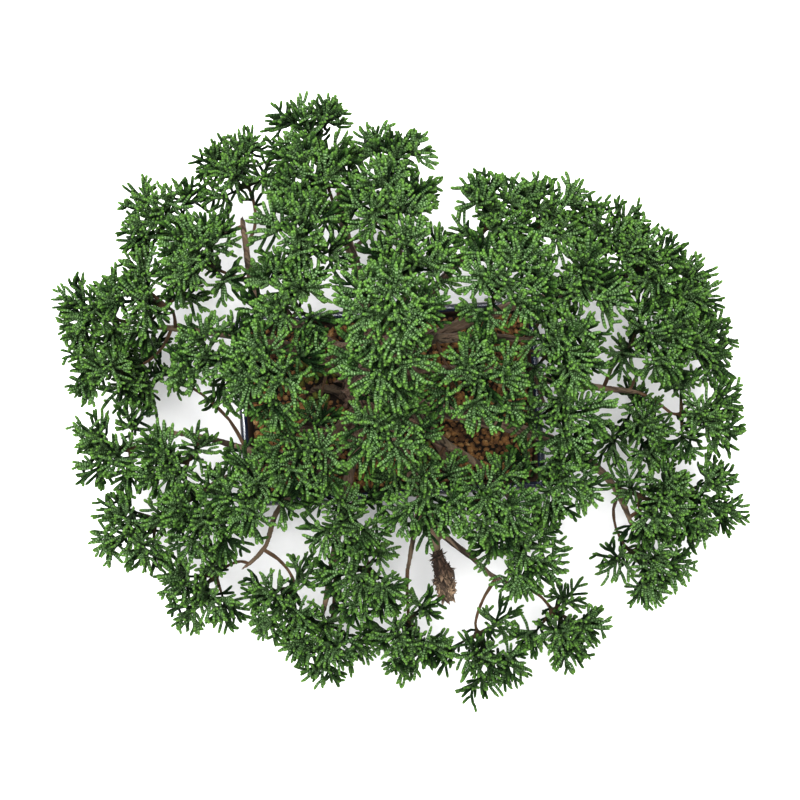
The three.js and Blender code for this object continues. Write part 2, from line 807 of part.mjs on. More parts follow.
// The tree
const wood = [makeRootStock(0)];
const tufts = [];
for (const { name, route, thick, tufts: places } of limbs) {
  const points = route.map(vector);
  wood.push(makeLimb(points, thick, limbSides, limbSteps));
  const curve = new THREE.CatmullRomCurve3(points, false, "centripetal");
  places.forEach(([x, y, z, reach], i) => {
    const middle = new THREE.Vector3(x, y, z);
    const aim = middle.clone().sub(treeHeart).normalize();
    aim.z += tuftLift;
    tufts.push({
      name: `foliage_${name}_${i + 1}`,
      limb: { curve, thick },
      middle,
      reach,
      aim: aim.normalize(),
      draw: dice(100 + tufts.length),
      skin: new Skin(),
      sprigs: [],
    });
  });
}
const woodSurface = new THREE.Mesh(
  geometryOf(joined(wood)),
  new THREE.MeshBasicMaterial({ side: THREE.DoubleSide }),
);
const snag = makeSnag();
for (const tuft of tufts) growStem(tuft, tuft.limb);
for (const tuft of tufts) growShoots(tuft);

function add(group, name, geometry, material) {
  const mesh = new THREE.Mesh(geometry, material);
  mesh.name = name;
  group.add(mesh);
}

const tree = new THREE.Group();
add(tree, "wood", woodSurface.geometry, bark);
add(tree, "deadwood", geometryOf(snag), bleached);
for (const { name, skin } of tufts) add(tree, name, skin.geometry, leaf);

// The pot and what lies in it
const turned = new THREE.Matrix4().makeRotationZ(treeTurn);
const inPot = turned.multiply(new THREE.Matrix4().makeTranslation(...treeShift));
const roomForWood = solidOf(geometryOf(makeRootStock(gap)).applyMatrix4(inPot));
const soil = makeSoil(roomForWood, vector(trunkRoute[1]).applyMatrix4(inPot));
const pot = new THREE.Group();
add(pot, "pot", geometryOf(makePot()), glaze);
add(pot, "screen_left", geometryOf(makeScreen(-1)), screenPlastic);
add(pot, "screen_right", geometryOf(makeScreen(1)), screenPlastic);
add(pot, "soil", geometryOf(soil), clay);

const bonsai = new THREE.Group();
tree.applyMatrix4(inPot);
bonsai.add(pot, tree);

// The origin is under the middle of the whole object
const box = new THREE.Box3().setFromObject(bonsai, true);
const centre = box.getCenter(new THREE.Vector3());
bonsai.position.set(-centre.x, -centre.y, -box.min.z);

export default bonsai;
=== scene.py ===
"""Chinese juniper bonsai in its glazed pot: the looks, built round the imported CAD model.

Every shoot, granule and strip of bark is grown from the CAD nodes' own meshes, so that each
piece stays where its node is. Metres, +Z up.
"""

import math

import bmesh
import bpy
import numpy as np
from bpy.props import FloatProperty, FloatVectorProperty, IntProperty, PointerProperty
from bpy.types import Operator, Panel, PropertyGroup
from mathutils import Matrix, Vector, noise
from mathutils.bvhtree import BVHTree


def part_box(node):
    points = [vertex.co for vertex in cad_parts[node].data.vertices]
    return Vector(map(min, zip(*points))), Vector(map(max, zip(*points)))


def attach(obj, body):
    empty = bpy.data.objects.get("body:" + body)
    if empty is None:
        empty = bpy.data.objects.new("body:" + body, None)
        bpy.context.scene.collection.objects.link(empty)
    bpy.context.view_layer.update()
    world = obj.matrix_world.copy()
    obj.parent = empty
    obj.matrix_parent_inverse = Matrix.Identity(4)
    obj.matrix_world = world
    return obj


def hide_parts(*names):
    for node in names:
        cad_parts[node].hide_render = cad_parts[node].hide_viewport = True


bl_info = {
    "name": "Juniper bonsai",
    "version": (1, 0, 0),
    "blender": (4, 5, 0),
    "location": "View3D > Sidebar > Bonsai",
    "description": "Builds a potted juniper bonsai, its soil, pot and photo stage",
    "category": "Add Mesh",
}

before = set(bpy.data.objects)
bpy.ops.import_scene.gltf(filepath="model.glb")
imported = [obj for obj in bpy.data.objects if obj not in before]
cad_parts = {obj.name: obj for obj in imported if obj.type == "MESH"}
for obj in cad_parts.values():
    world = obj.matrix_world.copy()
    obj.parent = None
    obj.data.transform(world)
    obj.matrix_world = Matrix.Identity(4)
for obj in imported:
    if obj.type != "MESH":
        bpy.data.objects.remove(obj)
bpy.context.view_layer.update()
pot_low, pot_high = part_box("pot")
pot_centre = (pot_low + pot_high) / 2

MM = 0.001

# The camera stands over this point beside the pot's middle, turned a little with the picture
CAMERA_BESIDE_POT = (0.00570, 0.00134)
CAMERA_TURN = math.radians(-3.7)

# Below one, this deepens the picture's shadows
PICTURE_GAMMA = 0.79

# The trunk's way up, as places in the picture's directions from the camera's foot, and its radius
TRUNK = [
    (-12, -4, 38, 13.0),
    (-13, -3, 62, 13.5),
    (-20, 4, 92, 9.6),
    (-19, 18, 122, 8.6),
    (-4, 27, 152, 7.4),
    (6, 30, 182, 5.6),
    (2, 35, 212, 3.8),
    (-3, 36, 224, 2.2),
]

# The foliage picture that all shoots share: age runs across it, and each tone has a row
TONE_ROWS = 40
BARK_ROWS = 6
SCALES_ALONG = 12
SCALES_ROUND = 4

# Side shoots along a leader: where each leaves, its length as a share of the leader's, and how
# many of the leaders have it
SIDE_SHOOTS = (
    (0.14, 0.76, 0.95),
    (0.30, 0.76, 0.95),
    (0.46, 0.64, 0.95),
    (0.62, 0.50, 0.95),
    (0.79, 0.36, 0.6),
)
LONGEST_SIDE_SHOOT = 15 * MM
FILLING_SHOOTS = 52

# Rings along a leader and along any other shoot, as shares of its length, and the girth at each
LEADER_RINGS = ((0, 0.28, 0.6, 0.86, 0.96), (0.8, 1.0, 1.0, 1.04, 0.72))
SHOOT_RINGS = ((0, 0.42, 0.82, 0.95), (0.85, 1.0, 1.05, 0.7))
SHOOT_SIDES = 5

# The pot's wall from its foot up to the rim and down inside, as heights and insets in millimetres
POT_HEIGHT = 60
POT_PROFILE = (
    (8, 8.6),
    (9.6, 6.95),
    (30, 5.1),
    (50.4, 2.95),
    (52, 0.1),
    (53.6, 0.08),
    (57.6, 0.02),
    (59, 0.0),
    (60, 1.1),
    (59.9, 3.4),
    (58.6, 4.4),
    (14, 10.8),
)
DRAIN_RADIUS = 0.008
DRAIN_BESIDE = 0.042
FOOT_INSET = 9 * MM
FOOT_HEIGHT = 0.009
FOOT_OUTLINE = ((0, 0), (26, 0), (26, 8), (8, 8), (8, 20), (0, 20))

# The screens' weave: threads across, their half thickness and how far they wave up and down
SCREEN_CELLS = 7
THREAD_RADIUS = 0.00045
THREAD_WAVE = 0.00022

# Where moss grows on the soil, as a place in the frame and how far round it, in metres
MOSS = ((-0.047, 0.016, 0.014), (0.01, -0.03, 0.008))


# Meshes


def draws(seed):
    """Random draws that come out the same each time."""
    return np.random.default_rng(seed)


def unit(vectors):
    """Vectors of length one."""
    return vectors / np.maximum(np.linalg.norm(vectors, axis=-1, keepdims=True), 1e-12)


def across(vectors, rng):
    """A random direction square to each vector."""
    wild = rng.normal(size=vectors.shape)
    return unit(np.cross(vectors, wild))


def points_of(mesh):
    """A mesh's points as an array."""
    co = np.empty(len(mesh.vertices) * 3)
    mesh.vertices.foreach_get("co", co)
    return co.reshape(-1, 3)


def normals_of(mesh):
    """A mesh's point normals as an array."""
    normals = np.empty(len(mesh.vertices) * 3)
    mesh.vertices.foreach_get("normal", normals)
    return normals.reshape(-1, 3)


def corners_of(mesh):
    """Which point lies at each corner of a mesh's faces."""
    corners = np.empty(len(mesh.loops), np.int32)
    mesh.loops.foreach_get("vertex_index", corners)
    return corners


def curve(start, bend, end, t):
    """A place on the curve from start to end that leans toward bend."""
    return (1 - t) ** 2 * start + 2 * t * (1 - t) * bend + t**2 * end


def fast_mesh(name, points, corners, counts, uvs=None):
    """A mesh from arrays: its points, the points at its faces' corners and each face's corner count."""
    mesh = bpy.data.meshes.new(name)
    mesh.vertices.add(len(points))
    mesh.vertices.foreach_set("co", np.asarray(points, np.float32).ravel())
    mesh.loops.add(len(corners))
    mesh.loops.foreach_set("vertex_index", np.asarray(corners, np.int32))
    mesh.polygons.add(len(counts))
    starts = np.concatenate([[0], np.cumsum(counts)[:-1]])
    mesh.polygons.foreach_set("loop_start", starts.astype(np.int32))
    if uvs is not None:
        layer = mesh.uv_layers.new(name="OFBake")
        layer.data.foreach_set("uv", np.asarray(uvs, np.float32).ravel())
    mesh.update(calc_edges=True)
    mesh.validate()
    mesh.shade_smooth()
    return mesh


def joined_arrays(parts):
    """Several (points, corners, counts, uvs) as one."""
    points, corners, counts, uvs = [], [], [], []
    first = 0
    for part_points, part_corners, part_counts, part_uvs in parts:
        points.append(part_points)
        corners.append(part_corners + first)
        counts.append(part_counts)
        uvs.append(part_uvs)
        first += len(part_points)
    return tuple(np.concatenate(arrays) for arrays in (points, corners, counts, uvs))


def arrays_of(mesh, uvs):
    """The arrays of a mesh, with uvs for its corners."""
    counts = np.empty(len(mesh.polygons), np.int32)
    mesh.polygons.foreach_get("loop_total", counts)
    return points_of(mesh), corners_of(mesh), counts, uvs


def in_scene(name, data):
    """An object for some data, linked into the scene."""
    shown = bpy.data.objects.new(name, data)
    bpy.context.scene.collection.objects.link(shown)
    return shown


def evaluated(mesh, *modifiers):
    """The mesh after modifiers, which are given as (type, settings)."""
    carrier = in_scene("carrier", mesh)
    for kind, settings in modifiers:
        modifier = carrier.modifiers.new(kind.lower(), kind)
        for key, value in settings.items():
            setattr(modifier, key, value)
    depsgraph = bpy.context.evaluated_depsgraph_get()
    done = bpy.data.meshes.new_from_object(carrier.evaluated_get(depsgraph))
    bpy.data.objects.remove(carrier)
    return done


def welded(node):
    """The mesh of a CAD node as a bmesh with its corners joined."""
    skin = bmesh.new()
    skin.from_mesh(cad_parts[node].data)
    bmesh.ops.remove_doubles(skin, verts=skin.verts[:], dist=1e-6)
    return skin


def mesh_from(skin, name):
    """A mesh from a bmesh, which is used up."""
    mesh = bpy.data.meshes.new(name)
    skin.to_mesh(mesh)
    skin.free()
    return mesh


def tree_of(node):
    """What measures how near a CAD node's surface is."""
    skin = welded(node)
    tree = BVHTree.FromBMesh(skin)
    skin.free()
    return tree


def place(name, mesh, material, slot, *nodes):
    """A piece in the scene that rides with the object and stands for CAD nodes."""
    piece = in_scene(name, mesh)
    mesh.materials.clear()
    mesh.materials.append(material)
    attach(piece, "root")
    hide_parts(*nodes)
    return piece


def add_tone(mesh, name, values):
    """Keeps a number for each point of a mesh."""
    tone = mesh.attributes.new(name, "FLOAT", "POINT")
    tone.data.foreach_set("value", np.asarray(values, np.float32))


def add_grain(mesh, grain):
    """Keeps the grain's coordinates for each point of a mesh."""
    kept = mesh.attributes.new("grain", "FLOAT_VECTOR", "POINT")
    kept.data.foreach_set("vector", grain.astype(np.float32).ravel())


def kept_by(mesh, name, field="value", size=1):
    """The numbers that a mesh keeps for each point."""
    values = np.empty(len(mesh.vertices) * size)
    mesh.attributes[name].data.foreach_get(field, values)
    return values.reshape(-1, size)


# Materials


class Nodes:
    """Adds nodes to a tree and joins them up."""

    def __init__(self, tree):
        self.tree = tree
        self.tree.nodes.clear()

    def add(self, kind, settings=None, **inputs):
        """A node, its settings, and its inputs by name: a number, a colour or another socket."""
        node = self.tree.nodes.new(kind)
        for key, value in (settings or {}).items():
            setattr(node, key, value)
        for name, value in inputs.items():
            self.feed(node.inputs[name.replace("_", " ")], value)
        return node

    def feed(self, socket, value):
        """Links another socket to this one, or sets its number or colour."""
        if isinstance(value, bpy.types.NodeSocket):
            self.tree.links.new(value, socket)
        else:
            socket.default_value = value

    def math(self, operation, a, b=0.0):
        """A sum, product or the like of two numbers or sockets."""
        node = self.tree.nodes.new("ShaderNodeMath")
        node.operation = operation
        for socket, value in zip(node.inputs, (a, b)):
            self.feed(socket, value)
        return node.outputs[0]

    def mix(self, factor, a, b):
        """Colour a where the factor is 0, and b where it is 1."""
        node = self.tree.nodes.new("ShaderNodeMix")
        node.data_type = "RGBA"
        node.clamp_result = True
        for socket, value in zip((node.inputs[0], node.inputs[6], node.inputs[7]), (factor, a, b)):
            self.feed(socket, value)
        return node.outputs[2]

    def between(self, value, low, high, to_low=0.0, to_high=1.0):
        """Rises smoothly from to_low to to_high while the value goes from low to high."""
        node = self.tree.nodes.new("ShaderNodeMapRange")
        node.interpolation_type = "SMOOTHSTEP"
        for socket, number in zip(node.inputs, (value, low, high, to_low, to_high)):
            self.feed(socket, number)
        return node.outputs[0]

    def noise(self, vector, scale, detail=2.0, roughness=0.5, distortion=0.0):
        node = self.add(
            "ShaderNodeTexNoise",
            Vector=vector,
            Scale=scale,
            Detail=detail,
            Roughness=roughness,
            Distortion=distortion,
        )
        return node.outputs["Fac"]

    def coordinates(self):
        return self.add("ShaderNodeTexCoord").outputs["Object"]

    def attribute(self, name):
        return self.add("ShaderNodeAttribute", {"attribute_name": name})

    def finish(self, colour, roughness, height=None, bump_distance=0.0002, **shader):
        """The Principled shader and its output. Constants go straight on its sockets."""
        inputs = {"Base_Color": colour, "Roughness": roughness, **shader}
        principled = self.add("ShaderNodeBsdfPrincipled", **inputs)
        if height is not None:
            bump = self.add("ShaderNodeBump", Strength=1.0, Distance=bump_distance, Height=height)
            self.tree.links.new(bump.outputs[0], principled.inputs["Normal"])
        self.add("ShaderNodeOutputMaterial", Surface=principled.outputs[0])


def new_material(name):
    """A material and what adds its nodes."""
    material = bpy.data.materials.new(name)
    material.use_nodes = True
    return material, Nodes(material.node_tree)


def group(name, inputs, outputs, build):
    """A node group with named inputs and outputs, made once."""
    if name in bpy.data.node_groups:
        return bpy.data.node_groups[name]
    tree = bpy.data.node_groups.new(name, "ShaderNodeTree")
    kinds = {"Float": "NodeSocketFloat", "Color": "NodeSocketColor", "Vector": "NodeSocketVector"}
    for label, kind in inputs:
        tree.interface.new_socket(label, in_out="INPUT", socket_type=kinds[kind])
    for label, kind in outputs:
        tree.interface.new_socket(label, in_out="OUTPUT", socket_type=kinds[kind])
    nodes = Nodes(tree)
    given = nodes.add("NodeGroupInput")
    result = nodes.add("NodeGroupOutput")
    for label, socket in build(nodes, given.outputs).items():
        tree.links.new(socket, result.inputs[label])
    return tree


def palette(settings, *names):
    """Colours from the settings, as sockets take them."""
    return [(*getattr(settings, name), 1) for name in names]


def use(nodes, tree, **inputs):
    """A group placed in a material with its own values."""
    return nodes.add("ShaderNodeGroup", {"node_tree": tree}, **inputs).outputs


def wood_fibres():
    """Long fibres and cracks that run with the grain."""

    def build(nodes, given):
        grain = given["Grain"]
        fine = nodes.noise(grain, given["Fineness"], 4.0, 0.62, 0.4)
        coarse = nodes.noise(grain, nodes.math("MULTIPLY", given["Fineness"], 0.31), 3.0, 0.55, 0.8)
        crack = nodes.between(coarse, 0.37, 0.5)
        height = nodes.math("ADD", nodes.math("MULTIPLY", fine, 0.6), crack)
        return {"Fibre": fine, "Crack": crack, "Height": height}

    return group(
        "wood_fibres",
        [("Grain", "Vector"), ("Fineness", "Float")],
        [("Fibre", "Float"), ("Crack", "Float"), ("Height", "Float")],
        build,
    )


def mottling():
    """Blotches of two sizes, for glaze, clay and lichen."""

    def build(nodes, given):
        large = nodes.noise(given["Vector"], given["Scale"], 3.0, 0.6, 0.3)
        small = nodes.noise(given["Vector"], nodes.math("MULTIPLY", given["Scale"], 5.3), 2.0, 0.6)
        spots = nodes.between(small, 0.56, 0.72)
        blotches = nodes.between(large, 0.4, 0.66)
        return {"Blotches": blotches, "Spots": spots}

    return group(
        "mottling",
        [("Vector", "Vector"), ("Scale", "Float")],
        [("Blotches", "Float"), ("Spots", "Float")],
        build,
    )


# Settings


def colour(name, description, default):
    return FloatVectorProperty(
        name=name, description=description, subtype="COLOR", size=3, min=0, max=1, default=default
    )


def length(name, description, default):
    return FloatProperty(name=name, description=description, unit="LENGTH", precision=5, default=default)


class FoliageSettings(PropertyGroup):
    """Shoots and their colours."""

    shoot_radius: length("Shoot radius", "Half the thickness of a leading shoot", 0.0009)
    side_radius: length("Side shoot radius", "Half the thickness of a side shoot", 0.00082)
    young: colour("Young green", "Colour of the growing tips", (0.105, 0.200, 0.040))
    fresh: colour("Fresh green", "Colour of this year's shoots", (0.034, 0.082, 0.017))
    # Near black. Low tones lean to it, so it also carries painted shade on lower shoots and tufts.
    mature: colour("Mature green", "Colour of older shoots", (0.004, 0.016, 0.004))
    # Pale blue green: the scales' wax, and also painted highlights on the scales.
    bloom_and_painted_highlight: colour("Blue bloom", "Colour of the waxy bloom on scales", (0.205, 0.300, 0.160))
    # Near black: painted shade for the insides of the tufts, and also the colour of the twigs' streaks.
    shade: colour("Inner green", "Colour of old shoots inside a tuft", (0.0012, 0.005, 0.001))
    twig: colour("Twig bark", "Colour of the twigs", (0.125, 0.080, 0.050))
    seed: IntProperty(name="Seed", description="Changes how the shoots fall", default=7)


class WoodSettings(PropertyGroup):
    """Trunk, roots and limbs."""

    grain_size: length("Mesh size", "Size of the wood's mesh faces", 0.0011)
    # Near black: painted shade in the cracks and low grooves of the wood.
    painted_recess_shade: colour("Crack colour", "Colour deep in the bark", (0.02, 0.012, 0.008))
    bark: colour("Bark colour", "Main colour of the bark", (0.135, 0.080, 0.054))
    worn: colour("Worn bark", "Colour where the bark is rubbed", (0.27, 0.185, 0.135))
    lichen: colour("Weathered limbs", "Grey green of the outer limbs", (0.105, 0.088, 0.055))
    crumbly: colour("Crumbly end", "Colour of the deadwood's broken end", (0.34, 0.25, 0.17))
    dead: colour("Deadwood", "Colour of the deadwood short of its end", (0.030, 0.018, 0.011))


class PotSettings(PropertyGroup):
    """Glaze and clay of the pot."""

    glaze: colour("Glaze", "Dark blue glaze", (0.011, 0.018, 0.042))
    mottle: colour("Glaze mottling", "Lighter blotches in the glaze", (0.035, 0.052, 0.095))
    thin: colour("Thin glaze", "Where the glaze runs thin on edges", (0.16, 0.15, 0.13))
    clay: colour("Clay", "Bare fired clay", (0.17, 0.105, 0.065))


class SoilSettings(PropertyGroup):
    """Granules in the pot."""

    granule: length("Granule radius", "Half the size of a middling granule", 0.00185)
    pitch: length("Granule pitch", "How far apart granules lie", 0.0034)
    ochre: colour("Ochre", "Main colour of the granules", (0.40, 0.22, 0.08))
    umber: colour("Umber", "Colour of damp granules", (0.12, 0.062, 0.028))
    pale: colour("Pale", "Colour of the palest granules", (0.58, 0.41, 0.20))
    moss: colour("Moss", "Moss on some granules", (0.13, 0.13, 0.025))


class StageSettings(PropertyGroup):
    """Floor, light and camera."""

    camera_height: length("Camera height", "Height of the camera over the floor", 0.9)
    lens: FloatProperty(name="Lens", description="Focal length in millimetres", default=66.5)
    floor: colour("Floor", "Colour of the floor", (0.82, 0.82, 0.82))
    lamp: FloatProperty(name="Lamp", description="Power of the soft lamp", unit="POWER", default=70)
    sky: FloatProperty(name="Sky", description="Strength of the light all round", default=0.86)


# Foliage


class Tuft:
    """The shoots and twigs that a CAD foliage node holds."""

    def __init__(self, node, bark):
        skin = welded(node)
        skin.verts.ensure_lookup_table()
        tips = [v for v in skin.verts if len(v.link_edges) == 3]
        seat = [v for v in skin.verts if len(v.link_edges) == 4]
        if len(seat) != 3:
            raise RuntimeError(f"{node} has no plain seat for its twig")
        self.base, self.tip = [], []
        for v in tips:
            ring = [e.other_vert(v) for e in v.link_edges]
            self.base.append(sum((r.co for r in ring), Vector()) / 3)
            self.tip.append(v.co.copy())
        self.base, self.tip = np.array(self.base), np.array(self.tip)
        rings = [[e.other_vert(v) for e in v.link_edges] for v in tips]
        bmesh.ops.delete(skin, geom=tips, context="VERTS")
        for ring in rings:
            if not skin.faces.get(ring):
                skin.faces.new(ring)
        bmesh.ops.recalc_face_normals(skin, faces=skin.faces[:])
        self.walk(skin, seat)
        self.settle(skin, seat, bark)
        self.aim = unit(self.tip.mean(0) - self.seat)
        self.core = mesh_from(skin, node + "_core")

    def reach(self, target):
        """Adds a longer shoot, in two runs, from the nearest twig to beyond a point."""
        start = self.base[np.argmin(np.linalg.norm(self.base - target, axis=1))]
        end = target + unit(target - start) * 5 * MM
        middle = (start + end) / 2 + np.array([0, 0, 2 * MM])
        self.base = np.concatenate([self.base, [start, middle]])
        self.tip = np.concatenate([self.tip, [middle + (end - middle) * 0.2, end]])

    def walk(self, skin, seat):
        """How far each point of the twigs is from the seat, as a share of the farthest."""
        self.seat = np.array(sum((v.co for v in seat), Vector()) / 3)
        distance = {v: 0.0 for v in seat}
        edge = list(seat)
        while edge:
            new = []
            for v in edge:
                for e in v.link_edges:
                    other = e.other_vert(v)
                    far = distance[v] + e.calc_length()
                    if far < distance.get(other, 1e9) - 1e-9:
                        distance[other] = far
                        new.append(other)
            edge = new
        skin.verts.index_update()
        farthest = max(distance.values())
        self.share = np.array([distance[v] / farthest for v in skin.verts])

    def settle(self, skin, seat, bark):
        """Runs the twig's foot on into its limb, flared like a branch collar."""
        middle = Vector(self.seat)
        near, _, _, gap = bark.find_nearest(middle)
        into = (near - middle).normalized() * (gap + 1.3 * MM)
        crease = skin.edges.layers.float.new("crease_edge")
        for v in seat:
            for e in v.link_edges:
                if e.other_vert(v) in seat:
                    e[crease] = 1
            v.co = middle + (v.co - middle) * 1.5 + into


def gap_beside(middle, middles):
    """The gap amid a tuft and its two nearest neighbours, which longer shoots reach into."""
    nearest = np.argsort(np.linalg.norm(middles - middle, axis=1))[:3]
    return middles[nearest].mean(0)


def sprays(tuft, settings, rng):
    """Start, bend, end, radius and first age of every shoot of a tuft. A leader follows each CAD
    shoot, with side shoots along it, and shorter shoots fill in from the twigs."""
    base, tip = tuft.base, tuft.tip
    run = tip - base
    far = np.linalg.norm(run, axis=1, keepdims=True)
    ahead = run / far
    count = len(base)
    start = base - ahead * 0.8 * MM
    sway = across(ahead, rng)
    bend = (start + tip) / 2 + sway * far * rng.uniform(0.12, 0.38, (count, 1))
    leaders = dict(
        start=start,
        bend=bend,
        end=tip,
        radius=settings.shoot_radius * rng.uniform(0.92, 1.1, count),
        age=np.full(count, 0.12),
        spray=np.arange(count),
    )
    sets = [leaders]
    flat = unit(np.cross(ahead, across(ahead, rng) * 0.7 + np.array([0, 0, 1.0])))
    for i, (along, share, kept) in enumerate(SIDE_SHOOTS):
        keep = rng.random(count) < kept
        at = curve(start, bend, tip, along + rng.uniform(-0.04, 0.04, (count, 1)))
        side = flat * (1 if i % 2 else -1) + 0.85 * across(ahead, rng)
        side = unit(side - ahead * np.sum(side * ahead, 1, keepdims=True))
        angle = rng.uniform(0.6, 1.3, (count, 1))
        reach = np.minimum(far, LONGEST_SIDE_SHOOT) * share * rng.uniform(0.75, 1.15, (count, 1))
        wide = ahead * np.cos(angle) + side * np.sin(angle)
        curl = angle * rng.uniform(0.2, 1.25, (count, 1))
        narrow = ahead * np.cos(curl) + side * np.sin(curl)
        sets.append(
            dict(
                start=at[keep],
                bend=(at + wide * reach * 0.5)[keep],
                end=(at + narrow * reach)[keep],
                radius=(settings.side_radius * rng.uniform(0.9, 1.08, count))[keep],
                age=np.full(count, 0.2 + 0.6 * along)[keep],
                spray=np.arange(count)[keep],
            )
        )
    sets.append(fill_shoots(tuft, settings, rng))
    return {key: np.concatenate([s[key] for s in sets]) for key in leaders}


def fill_shoots(tuft, settings, rng):
    """Shorter shoots straight from the twigs, deeper inside the tuft."""
    mesh, wanted = tuft.core, FILLING_SHOOTS
    middles = np.array([p.center for p in mesh.polygons])
    normals = np.array([p.normal for p in mesh.polygons])
    areas = np.array([p.area for p in mesh.polygons])
    shares = np.array([tuft.share[list(p.vertices)].mean() for p in mesh.polygons])
    weights = areas * (shares > 0.42)
    picked = rng.choice(len(middles), wanted, p=weights / weights.sum())
    heading = unit(normals[picked] + 0.7 * tuft.aim + 0.5 * rng.normal(size=(wanted, 3)))
    at = middles[picked] - normals[picked] * 0.6 * MM
    reach = rng.uniform(5.5, 9, (wanted, 1)) * MM
    end = at + heading * reach
    bend = (at + end) / 2 + across(heading, rng) * reach * 0.32
    return dict(
        start=at,
        bend=bend,
        end=end,
        radius=settings.side_radius * rng.uniform(0.9, 1.05, wanted),
        age=np.full(wanted, 0.1),
        spray=rng.integers(0, len(tuft.base), wanted),
    )


def tubes(shoots, rows, ring_places, rng):
    """Round shoots with blunt tips, as arrays. Each shoot keeps to its tone's row of the picture."""
    start, bend, end = (shoots[key][:, None, :] for key in ("start", "bend", "end"))
    places, girths = ring_places
    count, rings, sides = len(start), len(places), SHOOT_SIDES
    t = np.array(places)[None, :, None]
    centre = curve(start, bend, end, t)
    way = unit((1 - t) * (bend - start) + t * (end - bend))
    first = across(way[:, 0], rng)[:, None, :]
    right = unit(first - way * np.sum(first * way, -1, keepdims=True))
    front = np.cross(way, right)
    turn = np.arange(sides) * 2 * np.pi / sides
    radius = shoots["radius"][:, None, None, None] * np.array(girths)[None, :, None, None]
    wheel = np.cos(turn)[:, None] * right[:, :, None] + np.sin(turn)[:, None] * front[:, :, None]
    walls = (centre[:, :, None] + radius * wheel).reshape(count, -1, 3)
    points = np.concatenate([walls, end], 1)
    corners, counts, u, v = [], [], [], []
    for ring in range(rings - 1):
        for side in range(sides):
            low, high, beside = ring * sides, (ring + 1) * sides, (side + 1) % sides
            corners += [low + side, low + beside, high + beside, high + side]
            counts.append(4)
            u += [places[ring], places[ring], places[ring + 1], places[ring + 1]]
            v += [side, side + 1, side + 1, side]
    top = (rings - 1) * sides
    for side in range(sides):
        corners += [top + side, top + (side + 1) % sides, rings * sides]
        counts.append(3)
        u += [places[-1], places[-1], 1]
        v += [side, side + 1, side + 0.5]
    corners += list(range(sides))[::-1]
    counts.append(sides)
    u += [0] * sides
    v += list(range(sides))[::-1]
    each = rings * sides + 1
    corners = (np.array(corners)[None] + each * np.arange(count)[:, None]).ravel()
    age = shoots["age"][:, None]
    u = age + (1 - age) * np.array(u)[None]
    v = (rows[:, None] + 0.06 + 0.88 * np.array(v)[None] / sides) / TONE_ROWS
    uvs = np.stack([u, v], -1).reshape(-1, 2)
    return points.reshape(-1, 3), corners, np.tile(counts, count), uvs


def twig_arrays(tuft):
    """The tuft's twigs, rounded, with their part of the picture's bark rows."""
    soft = evaluated(tuft.core, ("SUBSURF", {"levels": 1, "render_levels": 1}))
    points = points_of(soft)
    origin = points_of(tuft.core)
    nearest = np.array([np.argmin(((origin - p) ** 2).sum(1)) for p in points])
    share = tuft.share[nearest]
    wave = np.sin(points @ np.array([700.0, 610.0, 900.0]))
    v = (0.5 + 0.42 * wave) * BARK_ROWS / TONE_ROWS
    uvs = np.stack([np.clip(share, 0, 1), v], 1)
    return arrays_of(soft, uvs[corners_of(soft)])


